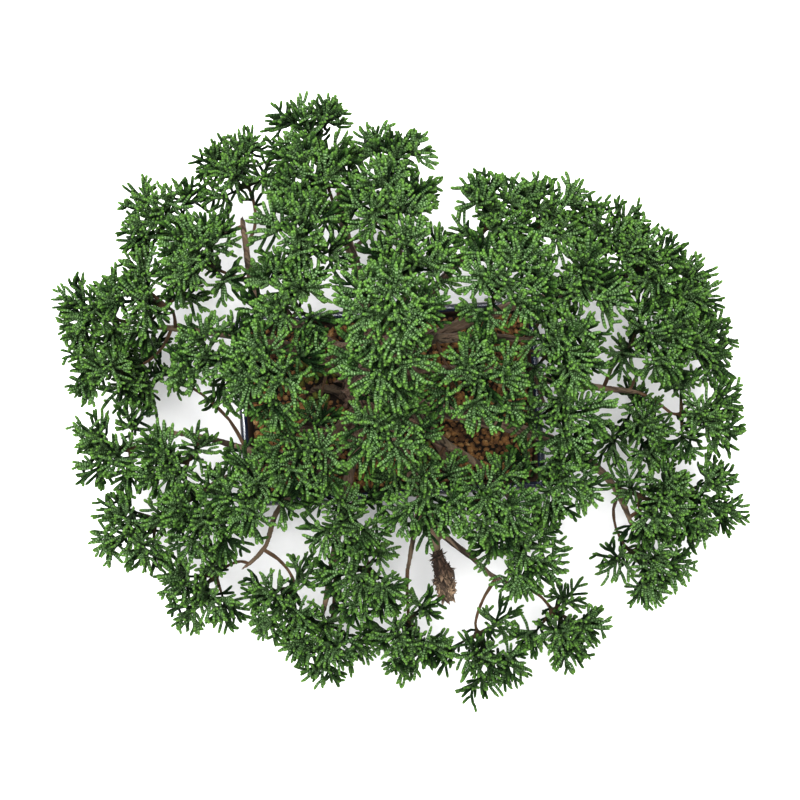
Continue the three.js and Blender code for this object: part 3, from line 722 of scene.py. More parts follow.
def foliage_material(settings):
    """Scale leaves: bark brown, then green by tone, then the young tips, with scales that carry wax and
    painted highlights, and painted shade at the shoots' old bases and between the scales.
    """
    material, nodes = new_material("juniper_foliage")
    where = nodes.add("ShaderNodeUVMap", {"uv_map": "OFBake"}).outputs[0]
    split = nodes.add("ShaderNodeSeparateXYZ", Vector=where)
    age, tone = split.outputs[0], split.outputs[1]
    rows = nodes.add(
        "ShaderNodeCombineXYZ",
        X=nodes.math("MULTIPLY", tone, float(TONE_ROWS * SCALES_ROUND)),
        Y=nodes.math("MULTIPLY", age, float(SCALES_ALONG)),
        Z=0.0,
    ).outputs[0]
    scales = nodes.add(
        "ShaderNodeTexBrick",
        {"offset": 0.5},
        Vector=rows,
        Scale=1.0,
        Mortar_Size=0.17,
        Mortar_Smooth=0.9,
        Brick_Width=1.0,
        Row_Height=1.0,
    ).outputs["Fac"]
    lift = nodes.math("FRACT", nodes.math("MULTIPLY", age, float(SCALES_ALONG)))
    wander = nodes.noise(where, 34.0, 2.0)
    mature, fresh, bloom_and_painted_highlight = palette(settings, "mature", "fresh", "bloom_and_painted_highlight")
    young, shade, twig = palette(settings, "young", "shade", "twig")
    # Low tones give near-black green and high tones fresh green. Tone is random per spray and shoot, and
    # also rises with height as painted light and shade.
    body = nodes.mix(nodes.between(tone, 0.2, 0.95), mature, fresh)
    # Pale flecks toward each scale's free end, more on high tones: real wax and painted highlights on
    # the scale beads.
    wax_and_painted_highlight = nodes.math("MULTIPLY", nodes.between(wander, 0.34, 0.6), nodes.between(lift, 0.1, 0.8))
    wax_and_painted_highlight = nodes.math("MULTIPLY", wax_and_painted_highlight, nodes.between(tone, 0.3, 0.85, 0.08, 1.0))
    body = nodes.mix(wax_and_painted_highlight, body, bloom_and_painted_highlight)
    # The seams between scales go near black: painted shade in the creases.
    body = nodes.mix(nodes.math("MULTIPLY", scales, 0.52), body, shade)
    # The old bases of the shoots, deep in each tuft, go near black: painted shade.
    body = nodes.mix(nodes.between(age, 0.12, 0.38, 0.75, 0.0), body, shade)
    # The seams between the tips' scales go a darker green: painted shade in the creases.
    tips = nodes.mix(nodes.math("MULTIPLY", scales, 0.4), young, fresh)
    tips = nodes.mix(nodes.between(tone, 0.3, 0.75, 0.7, 0.0), tips, fresh)
    green = nodes.mix(nodes.between(age, 0.74, 1.06), body, tips)
    streak = nodes.noise(where, 60.0, 3.0, 0.6)
    rind = nodes.mix(nodes.between(streak, 0.5, 0.75, 0.0, 0.8), twig, shade)
    rind = nodes.mix(nodes.between(age, 0.35, 0.8), rind, mature)
    is_green = nodes.between(tone, (BARK_ROWS - 0.2) / TONE_ROWS, BARK_ROWS / TONE_ROWS)
    shown = nodes.mix(is_green, rind, green)
    height = nodes.math("SUBTRACT", nodes.math("MULTIPLY", lift, 0.5), scales)
    roughness = nodes.between(wax_and_painted_highlight, 0.0, 1.0, 0.45, 0.65)
    nodes.finish(shown, roughness, height, 0.00014, Specular_IOR_Level=0.05)
    return material


def build_foliage(settings):
    """One piece for the tufts of each limb, made of twigs and whipcord shoots."""
    material = foliage_material(settings)
    wood = bpy.data.objects.get("bark_wood")
    if wood is None:
        raise RuntimeError("the wood comes before the foliage")
    bark = BVHTree.FromPolygons(
        [v.co.copy() for v in wood.data.vertices], [tuple(f.vertices) for f in wood.data.polygons]
    )
    limbs, tufts = {}, {}
    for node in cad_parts:
        if node.startswith("foliage_"):
            limbs.setdefault(node.rsplit("_", 1)[0], []).append(node)
            tufts[node] = Tuft(node, bark)
    middles = {node: tuft.tip.mean(0) for node, tuft in tufts.items()}
    for node, tuft in tufts.items():
        tuft.reach(gap_beside(middles[node], np.array(list(middles.values()))))
    for number, (limb, members) in enumerate(sorted(limbs.items())):
        rng = draws(settings.seed * 1000 + number)
        parts = []
        for node in members:
            tuft = tufts[node]
            shoots = sprays(tuft, settings, rng)
            spray_tone = rng.normal(0.5, 0.17, len(tuft.base) + 1)[shoots["spray"]]
            # Higher shoots in a tuft, and higher tufts, get lighter tones: painted light and shade by
            # height, on top of the random tone.
            height = shoots["end"][:, 2] - shoots["end"][:, 2].mean()
            raised = 0.2 * height / height.std()
            raised += 1.3 * (middles[node][2] - 0.15)
            tone = spray_tone + raised + rng.normal(0, 0.1, len(shoots["spray"]))
            tone = np.clip(tone, 0, 0.999)
            rows = BARK_ROWS + np.floor(tone * (TONE_ROWS - BARK_ROWS))
            lead = np.arange(len(rows)) < len(tuft.base)
            for chosen, ring_places in ((lead, LEADER_RINGS), (~lead, SHOOT_RINGS)):
                some = {key: value[chosen] for key, value in shoots.items()}
                parts.append(tubes(some, rows[chosen], ring_places, rng))
            parts.append(twig_arrays(tuft))
        mesh = fast_mesh(limb, *joined_arrays(parts))
        place(limb, mesh, material, "foliage", *members)


# Wood


def trunk_beside(z):
    """The trunk's axis and radius at heights, in metres."""
    right, back, up, radius = np.array(TRUNK).T * MM
    x = right * math.cos(CAMERA_TURN) - back * math.sin(CAMERA_TURN)
    y = right * math.sin(CAMERA_TURN) + back * math.cos(CAMERA_TURN)
    x += pot_centre.x + CAMERA_BESIDE_POT[0]
    y += pot_centre.y + CAMERA_BESIDE_POT[1]
    return tuple(np.interp(z, up, values) for values in (x, y, radius))


def grain_coordinates(points):
    """Coordinates that change slowly along the wood's grain and fast across it: up the trunk near
    its axis, and outward along roots and limbs farther away."""
    x, y, thick = trunk_beside(points[:, 2])
    dx, dy = points[:, 0] - x, points[:, 1] - y
    away = np.maximum(np.hypot(dx, dy), 1e-5)
    twist = points[:, 2] * 9
    angle = np.arctan2(dy, dx) + twist
    trunk = np.stack([np.cos(angle) * 0.013, np.sin(angle) * 0.013, points[:, 2] / 8], 1)
    limb = np.stack([dx / away * 0.045, dy / away * 0.045, points[:, 2] + away / 8], 1)
    share = np.clip((away - thick - 0.001) / 0.007, 0, 1)[:, None]
    return trunk * (1 - share) + limb * share


def local_thickness(mesh):
    """Half the wood's thickness under each point, from rays cast inward."""
    points, normals = points_of(mesh), normals_of(mesh)
    tree = BVHTree.FromPolygons(
        [Vector(p) for p in points], [tuple(f.vertices) for f in mesh.polygons]
    )
    radius = np.empty(len(points))
    for i, (p, n) in enumerate(zip(points, normals)):
        inward = Vector(-n)
        hit = tree.ray_cast(Vector(p) + inward * 1e-4, inward, 0.03)
        radius[i] = (hit[3] or 0.01) / 2
    return radius


def rough_wood(node, voxel, depth, seed):
    """A CAD wood node, rounded and remeshed, with fibres and cracks raised along its grain."""
    mesh = mesh_from(welded(node), node)
    mesh = evaluated(
        mesh,
        ("SUBSURF", {"levels": 1, "render_levels": 1}),
        ("REMESH", {"mode": "VOXEL", "voxel_size": voxel, "use_smooth_shade": True}),
        ("SMOOTH", {"factor": 0.5, "iterations": 2}),
    )
    points, normals = points_of(mesh), normals_of(mesh)
    grain = grain_coordinates(points)
    radius = local_thickness(mesh)
    lift = np.empty(len(points))
    for i, g in enumerate(grain):
        where = Vector(g) + Vector((seed, 0, 0))
        flute = noise.noise(where * 210)
        strip = noise.noise(where * 620)
        fibre = noise.noise(where * 1500)
        lift[i] = 0.5 * flute + 0.55 * (0.5 - abs(strip)) + 0.25 * fibre
    points += normals * (lift * np.minimum(radius * depth, 0.0011))[:, None]
    mesh.vertices.foreach_set("co", points.astype(np.float32).ravel())
    mesh.update()
    mesh.shade_smooth()
    add_grain(mesh, grain)
    add_tone(mesh, "lift", np.clip(lift + 0.5, 0, 1))
    add_tone(mesh, "girth", np.clip(radius / 0.008, 0, 1))
    return mesh


def grain_way(points):
    """The way the grain runs: up the trunk, and outward along roots and limbs."""
    x, y, thick = trunk_beside(points[:, 2])
    out = np.stack([points[:, 0] - x, points[:, 1] - y, np.zeros(len(points))], 1)
    away = np.linalg.norm(out, axis=1, keepdims=True)
    share = np.clip((away - thick[:, None] - 0.001) / 0.007, 0, 1)
    return unit(out * share + np.array([0, 0, 0.02]) * (1 - share))


def strip_points(at, way, up, run, wide, rise, slant):
    """Nine points for each strip of bark: four round its foot, four round its middle, and its tip."""
    side = np.cross(up, way)
    foot = at - up * 0.25 * MM
    middle = at + way * run * 0.5 + up * run * 0.35 * rise
    points = []
    for centre, share in ((foot, 0.8), (middle, 1.0)):
        for u, w in ((-1, -1), (1, -1), (1, 1), (-1, 1)):
            points.append(centre + side * wide * share * u + up * 0.22 * MM * w)
    points.append(at + way * run + up * run * rise + side * wide * slant)
    return np.stack(points, 1).reshape(-1, 3)


def peeling(mesh, count, size, width, lean, rng):
    """The wood's mesh with strips of bark that peel off along the grain."""
    points, normals = points_of(mesh), normals_of(mesh)
    grain = kept_by(mesh, "grain", "vector", 3)
    lift, girth = kept_by(mesh, "lift"), kept_by(mesh, "girth")
    weights = girth[:, 0] ** 2
    picked = rng.choice(len(points), count, p=weights / weights.sum())
    at, up = points[picked], normals[picked]
    way = grain_way(at) * rng.choice([-1.0, 1.0], (count, 1)) + 0.25 * rng.normal(size=(count, 3))
    way = unit(way - up * np.sum(way * up, 1, keepdims=True))
    run = size * rng.uniform(0.6, 1.5, (count, 1)) * np.clip(girth[picked] * 1.6, 0.25, 1)
    wide = run * width * rng.uniform(0.65, 1.35, (count, 1))
    rise = lean * rng.uniform(0.3, 1.0, (count, 1))
    strips = strip_points(at, way, up, run, wide, rise, rng.normal(0, 0.8, (count, 1)))
    faces = [(0, 3, 2, 1)] + [(i, (i + 1) % 4, 4 + (i + 1) % 4, 4 + i) for i in range(4)]
    faces += [(4 + i, 4 + (i + 1) % 4, 8) for i in range(4)]
    corners = np.array([c for face in faces for c in face])
    corners = (corners[None] + 9 * np.arange(count)[:, None]).ravel()
    counts = np.tile([len(face) for face in faces], count)
    wood = arrays_of(mesh, np.zeros((len(mesh.loops), 2)))
    joined = joined_arrays([wood, (strips, corners, counts, np.zeros((len(corners), 2)))])
    new = fast_mesh(mesh.name + "_peeling", *joined[:3])
    edges = np.tile([[-1], [1], [1], [-1], [-1], [1], [1], [-1], [0]], (count, 1)) * 0.0004
    add_grain(new, np.concatenate([grain, np.repeat(grain[picked], 9, 0) + edges]))
    add_tone(new, "lift", np.append(lift, np.repeat(rng.uniform(0.35, 1.0, count), 9)))
    add_tone(new, "girth", np.append(girth, np.repeat(girth[picked, 0], 9)))
    return new


def build_wood(settings):
    """Trunk, roots and limbs as one piece, and the deadwood as another."""
    bark = rough_wood("wood", settings.grain_size, 0.2, 0.0)
    bark = peeling(bark, 900, 6 * MM, 0.15, 0.22, draws(11))
    place("bark_wood", bark, bark_material(settings), "bark", "wood")
    dead = rough_wood("deadwood", settings.grain_size * 0.52, 0.3, 0.3)
    dead = peeling(dead, 560, 3.2 * MM, 0.3, 0.9, draws(12))
    points = points_of(dead)
    x, y, _ = trunk_beside(points[:, 2])
    away = np.hypot(points[:, 0] - x, points[:, 1] - y)
    add_tone(dead, "end", (away - away.min()) / np.ptp(away))
    place("flaky_deadwood", dead, deadwood_material(settings), "bleached_wood", "deadwood")


def bark_material(settings):
    """Flaking brown bark, redder on the trunk and grey green on thin limbs, with painted shade in its
    cracks and low grooves.
    """
    material, nodes = new_material("juniper_bark")
    grain = nodes.attribute("grain").outputs["Vector"]
    lift = nodes.attribute("lift").outputs["Fac"]
    girth = nodes.attribute("girth").outputs["Fac"]
    fibres = use(nodes, wood_fibres(), Grain=grain, Fineness=900.0)
    blotches = use(nodes, mottling(), Vector=nodes.coordinates(), Scale=70.0)
    painted_recess_shade, bark, worn, lichen = palette(settings, "painted_recess_shade", "bark", "worn", "lichen")
    body = nodes.mix(nodes.between(fibres["Fibre"], 0.35, 0.68), bark, worn)
    thin = nodes.between(girth, 0.25, 0.55, 0.75, 0.0)
    weathered = nodes.math("MULTIPLY", thin, nodes.between(blotches["Blotches"], 0.0, 1.0, 0.5, 1.0))
    body = nodes.mix(weathered, body, lichen)
    body = nodes.mix(nodes.math("MULTIPLY", blotches["Spots"], 0.4), body, lichen)
    # The cracks go near black: painted shade.
    body = nodes.mix(nodes.between(fibres["Crack"], 0.0, 1.0, 0.8, 0.0), body, painted_recess_shade)
    # The low places of the displaced wood go near black too: painted shade, of which the peeling strips
    # get a random share.
    body = nodes.mix(nodes.between(lift, 0.2, 0.5, 0.7, 0.0), body, painted_recess_shade)
    roughness = nodes.between(fibres["Fibre"], 0.3, 0.7, 0.95, 0.72)
    nodes.finish(body, roughness, fibres["Height"], 0.0009)
    return material


def deadwood_material(settings):
    """Dark, splintered wood with a paler, crumbly end where it broke, and painted shade in its cracks
    and low grooves.
    """
    material, nodes = new_material("bleached_deadwood")
    grain = nodes.attribute("grain").outputs["Vector"]
    lift = nodes.attribute("lift").outputs["Fac"]
    fibres = use(nodes, wood_fibres(), Grain=grain, Fineness=1300.0)
    blotches = use(nodes, mottling(), Vector=nodes.coordinates(), Scale=160.0)
    painted_recess_shade, dead, bark, crumbly = palette(settings, "painted_recess_shade", "dead", "bark", "crumbly")
    body = nodes.mix(nodes.between(fibres["Fibre"], 0.4, 0.75), dead, bark)
    patches = nodes.between(blotches["Blotches"], 0.0, 1.0, 0.25, 1.0)
    worn = nodes.math("MULTIPLY", patches, fibres["Fibre"])
    end = nodes.attribute("end").outputs["Fac"]
    rotten = nodes.math("MULTIPLY", nodes.between(end, 0.4, 0.8), nodes.between(worn, 0.04, 0.2))
    body = nodes.mix(rotten, body, crumbly)
    # The cracks go near black: painted shade.
    body = nodes.mix(nodes.between(fibres["Crack"], 0.0, 1.0, 0.85, 0.0), body, painted_recess_shade)
    # The low places of the displaced wood go near black too: painted shade, of which the peeling strips
    # get a random share.
    body = nodes.mix(nodes.between(lift, 0.2, 0.5, 0.8, 0.0), body, painted_recess_shade)
    roughness = nodes.between(fibres["Fibre"], 0.3, 0.7, 0.95, 0.8)
    nodes.finish(body, roughness, fibres["Height"], 0.0005)
    return material


# Soil


def granule_arrays(centres, radii, spots, rng):
    """Rounded, uneven granules. Each takes a patch of the soil's colour picture round its spot."""
    ball = bmesh.new()
    bmesh.ops.create_icosphere(ball, subdivisions=2, radius=1)
    shape = np.array([v.co for v in ball.verts])
    faces = np.array([[v.index for v in f.verts] for f in ball.faces])
    ball.free()
    parts = []
    for centre, radius, spot in zip(centres, radii, spots):
        squash = np.diag(rng.uniform(0.75, 1.2, 3))
        turn = np.linalg.qr(rng.normal(size=(3, 3)))[0]
        dents = 1 + 0.13 * np.sin(shape @ rng.normal(size=(3, 3)) * 2.6 + rng.uniform(0, 6, 3)).sum(1)
        points = (shape * dents[:, None] / dents.mean()) @ squash @ turn.T * radius + centre
        corners = faces.ravel()
        if np.linalg.det(turn) < 0:
            corners = faces[:, ::-1].ravel()
        uvs = spot + 0.02 * shape[corners][:, :2] * np.sign(shape[corners][:, 2:] + 1.5)
        parts.append((points, corners, np.full(len(faces), 3), uvs))
    return joined_arrays(parts)


def build_soil(settings):
    """A soil surface painted near black as the shade in the gaps, with granules heaped on it, which
    stands for the CAD soil.
    """
    rng = draws(31)
    painted_shade_bed = welded("soil")
    top = [f for f in painted_shade_bed.faces if f.normal.z > 0.4 and f.calc_center_median().z > 0.05]
    ground = BVHTree.FromBMesh(painted_shade_bed)
    wood = tree_of("wood")
    for v in {v for f in top for v in f.verts}:
        v.co.z -= 1.1 * MM
    bed_mesh = mesh_from(painted_shade_bed, "soil_bed")
    bed_x, bed_y, _ = points_of(bed_mesh).T
    bed_uvs = 0.02 + 0.01 * np.stack([np.sin(bed_x * 300), np.cos(bed_y * 300)], 1)
    low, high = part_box("soil")
    edge = settings.granule * 0.8
    centres, radii = [], []
    columns = int((high.x - low.x) / settings.pitch)
    rows = int((high.y - low.y) / (settings.pitch * 0.87))
    for row in range(rows + 1):
        for column in range(columns + 1):
            x = low.x + (column + 0.5 * (row % 2)) * settings.pitch + rng.uniform(-1, 1) * 0.9 * MM
            y = low.y + row * settings.pitch * 0.87 + rng.uniform(-1, 1) * 0.9 * MM
            radius = settings.granule * rng.uniform(0.66, 1.2)
            x = min(max(x, low.x + edge), high.x - edge)
            y = min(max(y, low.y + edge), high.y - edge)
            hit = ground.ray_cast(Vector((x, y, 0.1)), Vector((0, 0, -1)))[0]
            if hit is None or hit.z < 0.05:
                continue
            centre = Vector((x, y, hit.z - 0.55 * radius + rng.uniform(-0.4, 0.8) * MM))
            near = wood.find_nearest(centre)
            if near[3] < radius * 0.55:
                continue
            centres.append(centre)
            radii.append(radius)
    centres = np.array(centres)
    mossy = sum(np.hypot(centres[:, 0] - x, centres[:, 1] - y) < far for x, y, far in MOSS) > 0
    mossy &= rng.random(len(centres)) < 0.6
    spots = rng.uniform((0.1, 0.08), (0.8, 0.92), (len(centres), 2))
    spots[mossy, 0] = rng.uniform(0.88, 0.97, mossy.sum())
    granules = granule_arrays(centres, radii, spots, rng)
    bed_arrays = arrays_of(bed_mesh, bed_uvs[corners_of(bed_mesh)])
    mesh = fast_mesh("soil_granules", *joined_arrays([granules, bed_arrays]))
    place("soil_granules", mesh, soil_material(settings), "clay_granules", "soil")


def soil_material(settings):
    """Fired clay granules, from damp umber to pale ochre, with moss on some, over a surface painted near
    black as shade.
    """
    material, nodes = new_material("clay_granules")
    where = nodes.add("ShaderNodeUVMap", {"uv_map": "OFBake"}).outputs[0]
    column = nodes.add("ShaderNodeSeparateXYZ", Vector=where).outputs[0]
    ochre, umber, pale, moss = palette(settings, "ochre", "umber", "pale", "moss")
    broad = nodes.noise(where, 17.0, 2.0)
    grit = nodes.noise(where, 190.0, 3.0, 0.65)
    body = nodes.mix(nodes.between(broad, 0.4, 0.53), umber, ochre)
    body = nodes.mix(nodes.between(broad, 0.56, 0.67), body, pale)
    body = nodes.mix(nodes.between(grit, 0.4, 0.7, 0.55, 0.0), body, umber)
    body = nodes.mix(nodes.between(column, 0.83, 0.87), body, moss)
    # Under the granules the surface is near black: painted shade in the gaps between them.
    painted_shade_bed = nodes.between(column, 0.05, 0.07, 1.0, 0.0)
    body = nodes.mix(painted_shade_bed, body, (0.02, 0.012, 0.007, 1))
    nodes.finish(body, 0.93, grit, 0.0004)
    return material


# Pot


def rounded_ring(half_x, half_y, radius, z, steps=8):
    """A ring of points on a rectangle with round corners, round the pot's middle."""
    ring = []
    for corner in range(4):
        right = 1 if corner in (0, 3) else -1
        back = 1 if corner < 2 else -1
        for i in range(steps + 1):
            angle = (corner + i / steps) * math.pi / 2
            x = right * (half_x - radius) + radius * math.cos(angle)
            y = back * (half_y - radius) + radius * math.sin(angle)
            ring.append((pot_centre.x + x, pot_centre.y + y, z))
    return ring


def softened(profile, radius, steps=3):
    """A profile of (height, inset) with its corners rounded."""
    points = [Vector(p) for p in profile]
    out = [points[0]]
    for before, here, after in zip(points, points[1:], points[2:]):
        r = min(radius, (here - before).length * 0.45, (after - here).length * 0.45)
        a = here + (before - here).normalized() * r
        b = here + (after - here).normalized() * r
        for i in range(steps + 1):
            out.append(curve(a, here, b, i / steps))
    out.append(points[-1])
    return out


def loft(skin, rings):
    """Closes a skin over rings with the same number of points."""
    loops = [[skin.verts.new(p) for p in ring] for ring in rings]
    for one, other in zip(loops, loops[1:]):
        for i in range(len(one)):
            j = (i + 1) % len(one)
            skin.faces.new((one[i], one[j], other[j], other[i]))
    skin.faces.new(loops[0][::-1])
    skin.faces.new(loops[-1])


def cut(skin, name, operation, tools):
    """Joins or cuts meshes exactly."""
    mesh = mesh_from(skin, name)
    for tool_skin in tools:
        tool = in_scene("tool", mesh_from(tool_skin, "tool"))
        mesh = evaluated(mesh, ("BOOLEAN", {"operation": operation, "object": tool, "solver": "EXACT"}))
        bpy.data.objects.remove(tool)
    back = bmesh.new()
    back.from_mesh(mesh)
    return back


def build_pot(settings):
    """The glazed pot with a soft rim, angled feet and drainage holes."""
    half_x = (pot_high.x - pot_low.x) / 2
    half_y = (pot_high.y - pot_low.y) / 2
    rim = pot_high.z
    walls = bmesh.new()
    rings = []
    for height, inset in softened(POT_PROFILE, 0.9):
        corner = max(5 - inset / 2, 2) * MM
        z = rim + (height - POT_HEIGHT) * MM
        rings.append(rounded_ring(half_x - inset * MM, half_y - inset * MM, corner, z))
    loft(walls, rings)
    feet, drains = [], []
    for right in (-1, 1):
        drains.append(drain_plug(pot_centre.x + right * DRAIN_BESIDE))
        for back in (-1, 1):
            feet.append(foot(right, back, half_x - FOOT_INSET, half_y - FOOT_INSET))
    body = cut(cut(walls, "pot_walls", "UNION", feet), "pot_drained", "DIFFERENCE", drains)
    bmesh.ops.remove_doubles(body, verts=body.verts[:], dist=1e-6)
    mesh = mesh_from(body, "pot_glazed")
    points = points_of(mesh)
    beside = np.abs(points[:, :2] - np.array(pot_centre)[:2]) - np.array([half_x, half_y])
    inset = -beside.max(1)
    z = points[:, 2]
    edge = np.exp(-((np.maximum(0.0592 - z, 0) / 0.0007) ** 2)) * np.exp(-((inset / 0.0011) ** 2))
    lip = np.exp(-(((z - 0.0522) / 0.0006) ** 2)) * (inset < 0.001)
    add_tone(mesh, "edge", np.clip(edge + 0.7 * lip, 0, 1))
    lean = 0.005 * (1 - np.clip((z - 0.008) / 0.052, 0, 1))
    inside = (inset - lean > 0.0042) & (z > 0.0141)
    add_tone(mesh, "bare", np.where(inside | (z < 0.0095), 1.0, 0.0))
    mesh.shade_smooth()
    mesh.set_sharp_from_angle(angle=math.radians(42))
    place("pot_glazed", mesh, pot_material(settings), "glaze", "pot")


def drain_plug(x):
    """What cuts a drainage hole through the floor."""
    plug = bmesh.new()
    bmesh.ops.create_cone(
        plug, cap_ends=True, segments=32, radius1=DRAIN_RADIUS, radius2=DRAIN_RADIUS, depth=0.05
    )
    bmesh.ops.translate(plug, verts=plug.verts[:], vec=(x, pot_centre.y, 0))
    return plug


def foot(right, back, corner_x, corner_y):
    """An angled foot under one corner, with soft edges."""
    shape = bmesh.new()
    ring = []
    for x, y in FOOT_OUTLINE:
        across_pot = pot_centre.x + right * (corner_x - x * MM)
        along_pot = pot_centre.y + back * (corner_y - y * MM)
        ring.append(shape.verts.new((across_pot, along_pot, 0)))
    face = shape.faces.new(ring)
    grown = bmesh.ops.extrude_face_region(shape, geom=[face])
    up = [g for g in grown["geom"] if isinstance(g, bmesh.types.BMVert)]
    bmesh.ops.translate(shape, verts=up, vec=(0, 0, FOOT_HEIGHT))
    bmesh.ops.recalc_face_normals(shape, faces=shape.faces[:])
    bmesh.ops.bevel(
        shape, geom=shape.edges[:], offset=0.0009, segments=2, affect="EDGES", clamp_overlap=True
    )
    return shape


def pot_material(settings):
    """Dark blue glaze, thin on the edges, over brown clay."""
    material, nodes = new_material("blue_glaze")
    where = nodes.coordinates()
    glaze, mottle, thin, clay = palette(settings, "glaze", "mottle", "thin", "clay")
    blotches = use(nodes, mottling(), Vector=where, Scale=110.0)
    edge = nodes.attribute("edge").outputs["Fac"]
    bare = nodes.attribute("bare").outputs["Fac"]
    coat = nodes.mix(nodes.math("MULTIPLY", blotches["Blotches"], 0.7), glaze, mottle)
    coat = nodes.mix(nodes.math("MULTIPLY", blotches["Spots"], 0.55), coat, mottle)
    patchy = nodes.between(nodes.noise(where, 260.0), 0.3, 0.6, 0.35, 1.0)
    coat = nodes.mix(nodes.math("MULTIPLY", edge, patchy), coat, thin)
    grit = nodes.noise(where, 1400.0, 3.0, 0.7)
    body = nodes.mix(nodes.between(grit, 0.3, 0.7, 0.5, 0.0), clay, (0.07, 0.045, 0.03, 1))
    body = nodes.mix(nodes.math("MULTIPLY", blotches["Blotches"], 0.4), body, (0.11, 0.075, 0.05, 1))
    ragged = nodes.math("ADD", bare, nodes.between(nodes.noise(where, 300.0), 0.3, 0.7, -0.2, 0.2))
    glazed = nodes.between(ragged, 0.4, 0.6, 1.0, 0.0)
    shown = nodes.mix(glazed, body, coat)
    roughness = nodes.between(glazed, 0.0, 1.0, 0.9, 0.16)
    height = nodes.math("MULTIPLY", grit, nodes.between(glazed, 0.0, 1.0, 1.0, 0.04))
    nodes.finish(shown, roughness, height, 0.0003)
    return material


def screen_material():
    """Black plastic, dusty with clay."""
    material, nodes = new_material("mesh_plastic")
    dust = nodes.noise(nodes.coordinates(), 500.0, 3.0, 0.6)
    dusty = nodes.between(dust, 0.45, 0.75, 0.0, 0.6)
    body = nodes.mix(dusty, (0.012, 0.013, 0.011, 1), (0.14, 0.09, 0.05, 1))
    nodes.finish(body, nodes.between(dust, 0.3, 0.7, 0.45, 0.8), dust, 0.0001)
    return material


def thread_rings(centre, half, number, along_x):
    """The rings of one thread of a screen, which waves over and under those that cross it."""
    offset = -half + THREAD_RADIUS + (2 * half - 2 * THREAD_RADIUS) * number / SCREEN_CELLS
    steps = SCREEN_CELLS * 3
    rings = []
    for step in range(steps + 1):
        run = 2 * half * step / steps
        wave = math.sin((run * SCREEN_CELLS / (2 * half) + number) * math.pi)
        z = centre.z + THREAD_WAVE * wave
        ring = []
        for side in range(6):
            u = THREAD_RADIUS * math.cos(side * math.pi / 3) * 0.9
            w = THREAD_RADIUS * math.sin(side * math.pi / 3) * 0.5
            if along_x:
                ring.append((centre.x - half + run, centre.y + offset + u, z + w))
            else:
                ring.append((centre.x + offset - u, centre.y - half + run, z + w))
        rings.append(ring)
    return rings


def build_screens():
    """Woven plastic mesh over the drainage holes."""
    material = screen_material()
    for side in ("left", "right"):
        low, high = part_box(f"screen_{side}")
        threads = bmesh.new()
        for number in range(SCREEN_CELLS + 1):
            for along_x in (True, False):
                rings = thread_rings((low + high) / 2, (high.x - low.x) / 2, number, along_x)
                loft(threads, rings)
        bmesh.ops.recalc_face_normals(threads, faces=threads.faces[:])
        mesh = mesh_from(threads, f"woven_screen_{side}")
        mesh.shade_smooth()
        place(f"woven_screen_{side}", mesh, material, "mesh_plastic", f"screen_{side}")


# Stage


def add_floor(settings):
    """A wide, pale floor."""
    half = 6.0
    corners = [(-half, -half, 0), (half, -half, 0), (half, half, 0), (-half, half, 0)]
    mesh = bpy.data.meshes.new("floor")
    mesh.from_pydata(corners, [], [(0, 1, 2, 3)])
    material, nodes = new_material("pale_floor")
    dimmer = tuple(part * 0.985 for part in settings.floor) + (1,)
    tint = nodes.mix(nodes.noise(nodes.coordinates(), 60.0), (*settings.floor, 1), dimmer)
    nodes.finish(tint, 0.85)
    mesh.materials.append(material)
    in_scene("floor", mesh)


def add_lights(settings):
    """A soft lamp over the tree, and a sky that is brighter toward the top."""
    lamp = bpy.data.lights.new("softbox", "AREA")
    lamp.shape = "DISK"
    lamp.size = 0.8
    lamp.energy = settings.lamp
    softbox = in_scene("softbox", lamp)
    softbox.location = (-0.12, 0.2, 1.75)
    aim = Vector((0, 0, 0.1)) - softbox.location
    softbox.rotation_euler = aim.to_track_quat("-Z", "Y").to_euler()
    world = bpy.data.worlds.new("studio")
    world.use_nodes = True
    sky = Nodes(world.node_tree)
    way = sky.add("ShaderNodeTexCoord").outputs["Generated"]
    up = sky.add("ShaderNodeSeparateXYZ", Vector=way).outputs[2]
    strength = sky.math("MULTIPLY", sky.between(up, -0.2, 1.0, 0.35, 1.35), settings.sky)
    back = sky.add("ShaderNodeBackground", Color=(1, 1, 1, 1), Strength=strength)
    sky.add("ShaderNodeOutputWorld", Surface=back.outputs[0])
    bpy.context.scene.world = world


def add_camera(settings):
    """The camera over the tree, and the contrast of the picture."""
    data = bpy.data.cameras.new("photo_camera")
    data.lens = settings.lens
    data.sensor_width = 36
    data.clip_start = 0.01
    camera = in_scene("photo_camera", data)
    x, y = CAMERA_BESIDE_POT
    camera.location = (pot_centre.x + x, pot_centre.y + y, settings.camera_height)
    camera.rotation_euler = (0, 0, CAMERA_TURN)
    bpy.context.scene.camera = camera
    bpy.context.scene.view_settings.view_transform = "Standard"
    bpy.context.scene.view_settings.gamma = PICTURE_GAMMA


def build_stage(settings):
    """Floor, lights and camera."""
    add_floor(settings)
    add_lights(settings)
    add_camera(settings)


# Operators


class BonsaiOperator:
    """What every step has in common."""

    bl_options = {"REGISTER", "UNDO"}


class BONSAI_OT_stage(BonsaiOperator, Operator):
    """Sets up the floor, the lights and the camera"""

    bl_idname = "bonsai.stage"
    bl_label = "Stage"

    def execute(self, context):
        build_stage(context.scene.bonsai_stage)
        return {"FINISHED"}


class BONSAI_OT_pot(BonsaiOperator, Operator):
    """Makes the glazed pot"""

    bl_idname = "bonsai.pot"
    bl_label = "Pot"

    def execute(self, context):
        build_pot(context.scene.bonsai_pot)
        return {"FINISHED"}


class BONSAI_OT_screens(BonsaiOperator, Operator):
    """Makes the mesh screens over the drainage holes"""

    bl_idname = "bonsai.screens"
    bl_label = "Screens"

    def execute(self, context):
        build_screens()
        return {"FINISHED"}


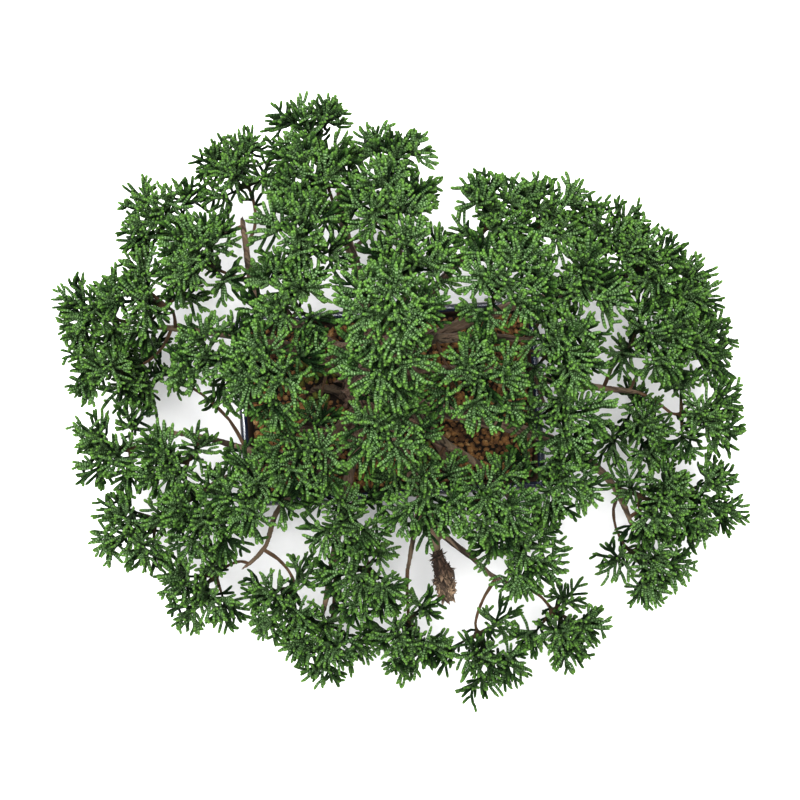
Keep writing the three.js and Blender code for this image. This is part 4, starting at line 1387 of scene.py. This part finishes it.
class BONSAI_OT_soil(BonsaiOperator, Operator):
    """Fills the pot with granules"""

    bl_idname = "bonsai.soil"
    bl_label = "Soil"

    def execute(self, context):
        build_soil(context.scene.bonsai_soil)
        return {"FINISHED"}


class BONSAI_OT_wood(BonsaiOperator, Operator):
    """Makes the trunk, roots and limbs, and the deadwood"""

    bl_idname = "bonsai.wood"
    bl_label = "Wood"

    def execute(self, context):
        build_wood(context.scene.bonsai_wood)
        return {"FINISHED"}


class BONSAI_OT_foliage(BonsaiOperator, Operator):
    """Grows the whipcord shoots of every tuft"""

    bl_idname = "bonsai.foliage"
    bl_label = "Foliage"

    def execute(self, context):
        build_foliage(context.scene.bonsai_foliage)
        return {"FINISHED"}


STEPS = (
    (BONSAI_OT_stage, "bonsai_stage", StageSettings),
    (BONSAI_OT_pot, "bonsai_pot", PotSettings),
    (BONSAI_OT_screens, None, None),
    (BONSAI_OT_soil, "bonsai_soil", SoilSettings),
    (BONSAI_OT_wood, "bonsai_wood", WoodSettings),
    (BONSAI_OT_foliage, "bonsai_foliage", FoliageSettings),
)


class BONSAI_PT_panel(Panel):
    """Lists the steps and what they can be given"""

    bl_label = "Juniper bonsai"
    bl_idname = "BONSAI_PT_panel"
    bl_space_type = "VIEW_3D"
    bl_region_type = "UI"
    bl_category = "Bonsai"

    def draw(self, context):
        for step, key, _ in STEPS:
            box = self.layout.box()
            box.operator(step.bl_idname)
            if key:
                settings = getattr(context.scene, key)
                for name in settings.__annotations__:
                    box.prop(settings, name)


def register():
    for step, key, settings in STEPS:
        bpy.utils.register_class(step)
        if key:
            bpy.utils.register_class(settings)
            setattr(bpy.types.Scene, key, PointerProperty(type=settings))
    bpy.utils.register_class(BONSAI_PT_panel)


def unregister():
    bpy.utils.unregister_class(BONSAI_PT_panel)
    for step, key, settings in reversed(STEPS):
        if key:
            delattr(bpy.types.Scene, key)
            bpy.utils.unregister_class(settings)
        bpy.utils.unregister_class(step)


def main():
    """Builds everything in order."""
    register()
    bpy.ops.bonsai.stage()
    bpy.ops.bonsai.pot()
    bpy.ops.bonsai.screens()
    bpy.ops.bonsai.soil()
    bpy.ops.bonsai.wood()
    bpy.ops.bonsai.foliage()


if __name__ == "__main__":
    main()
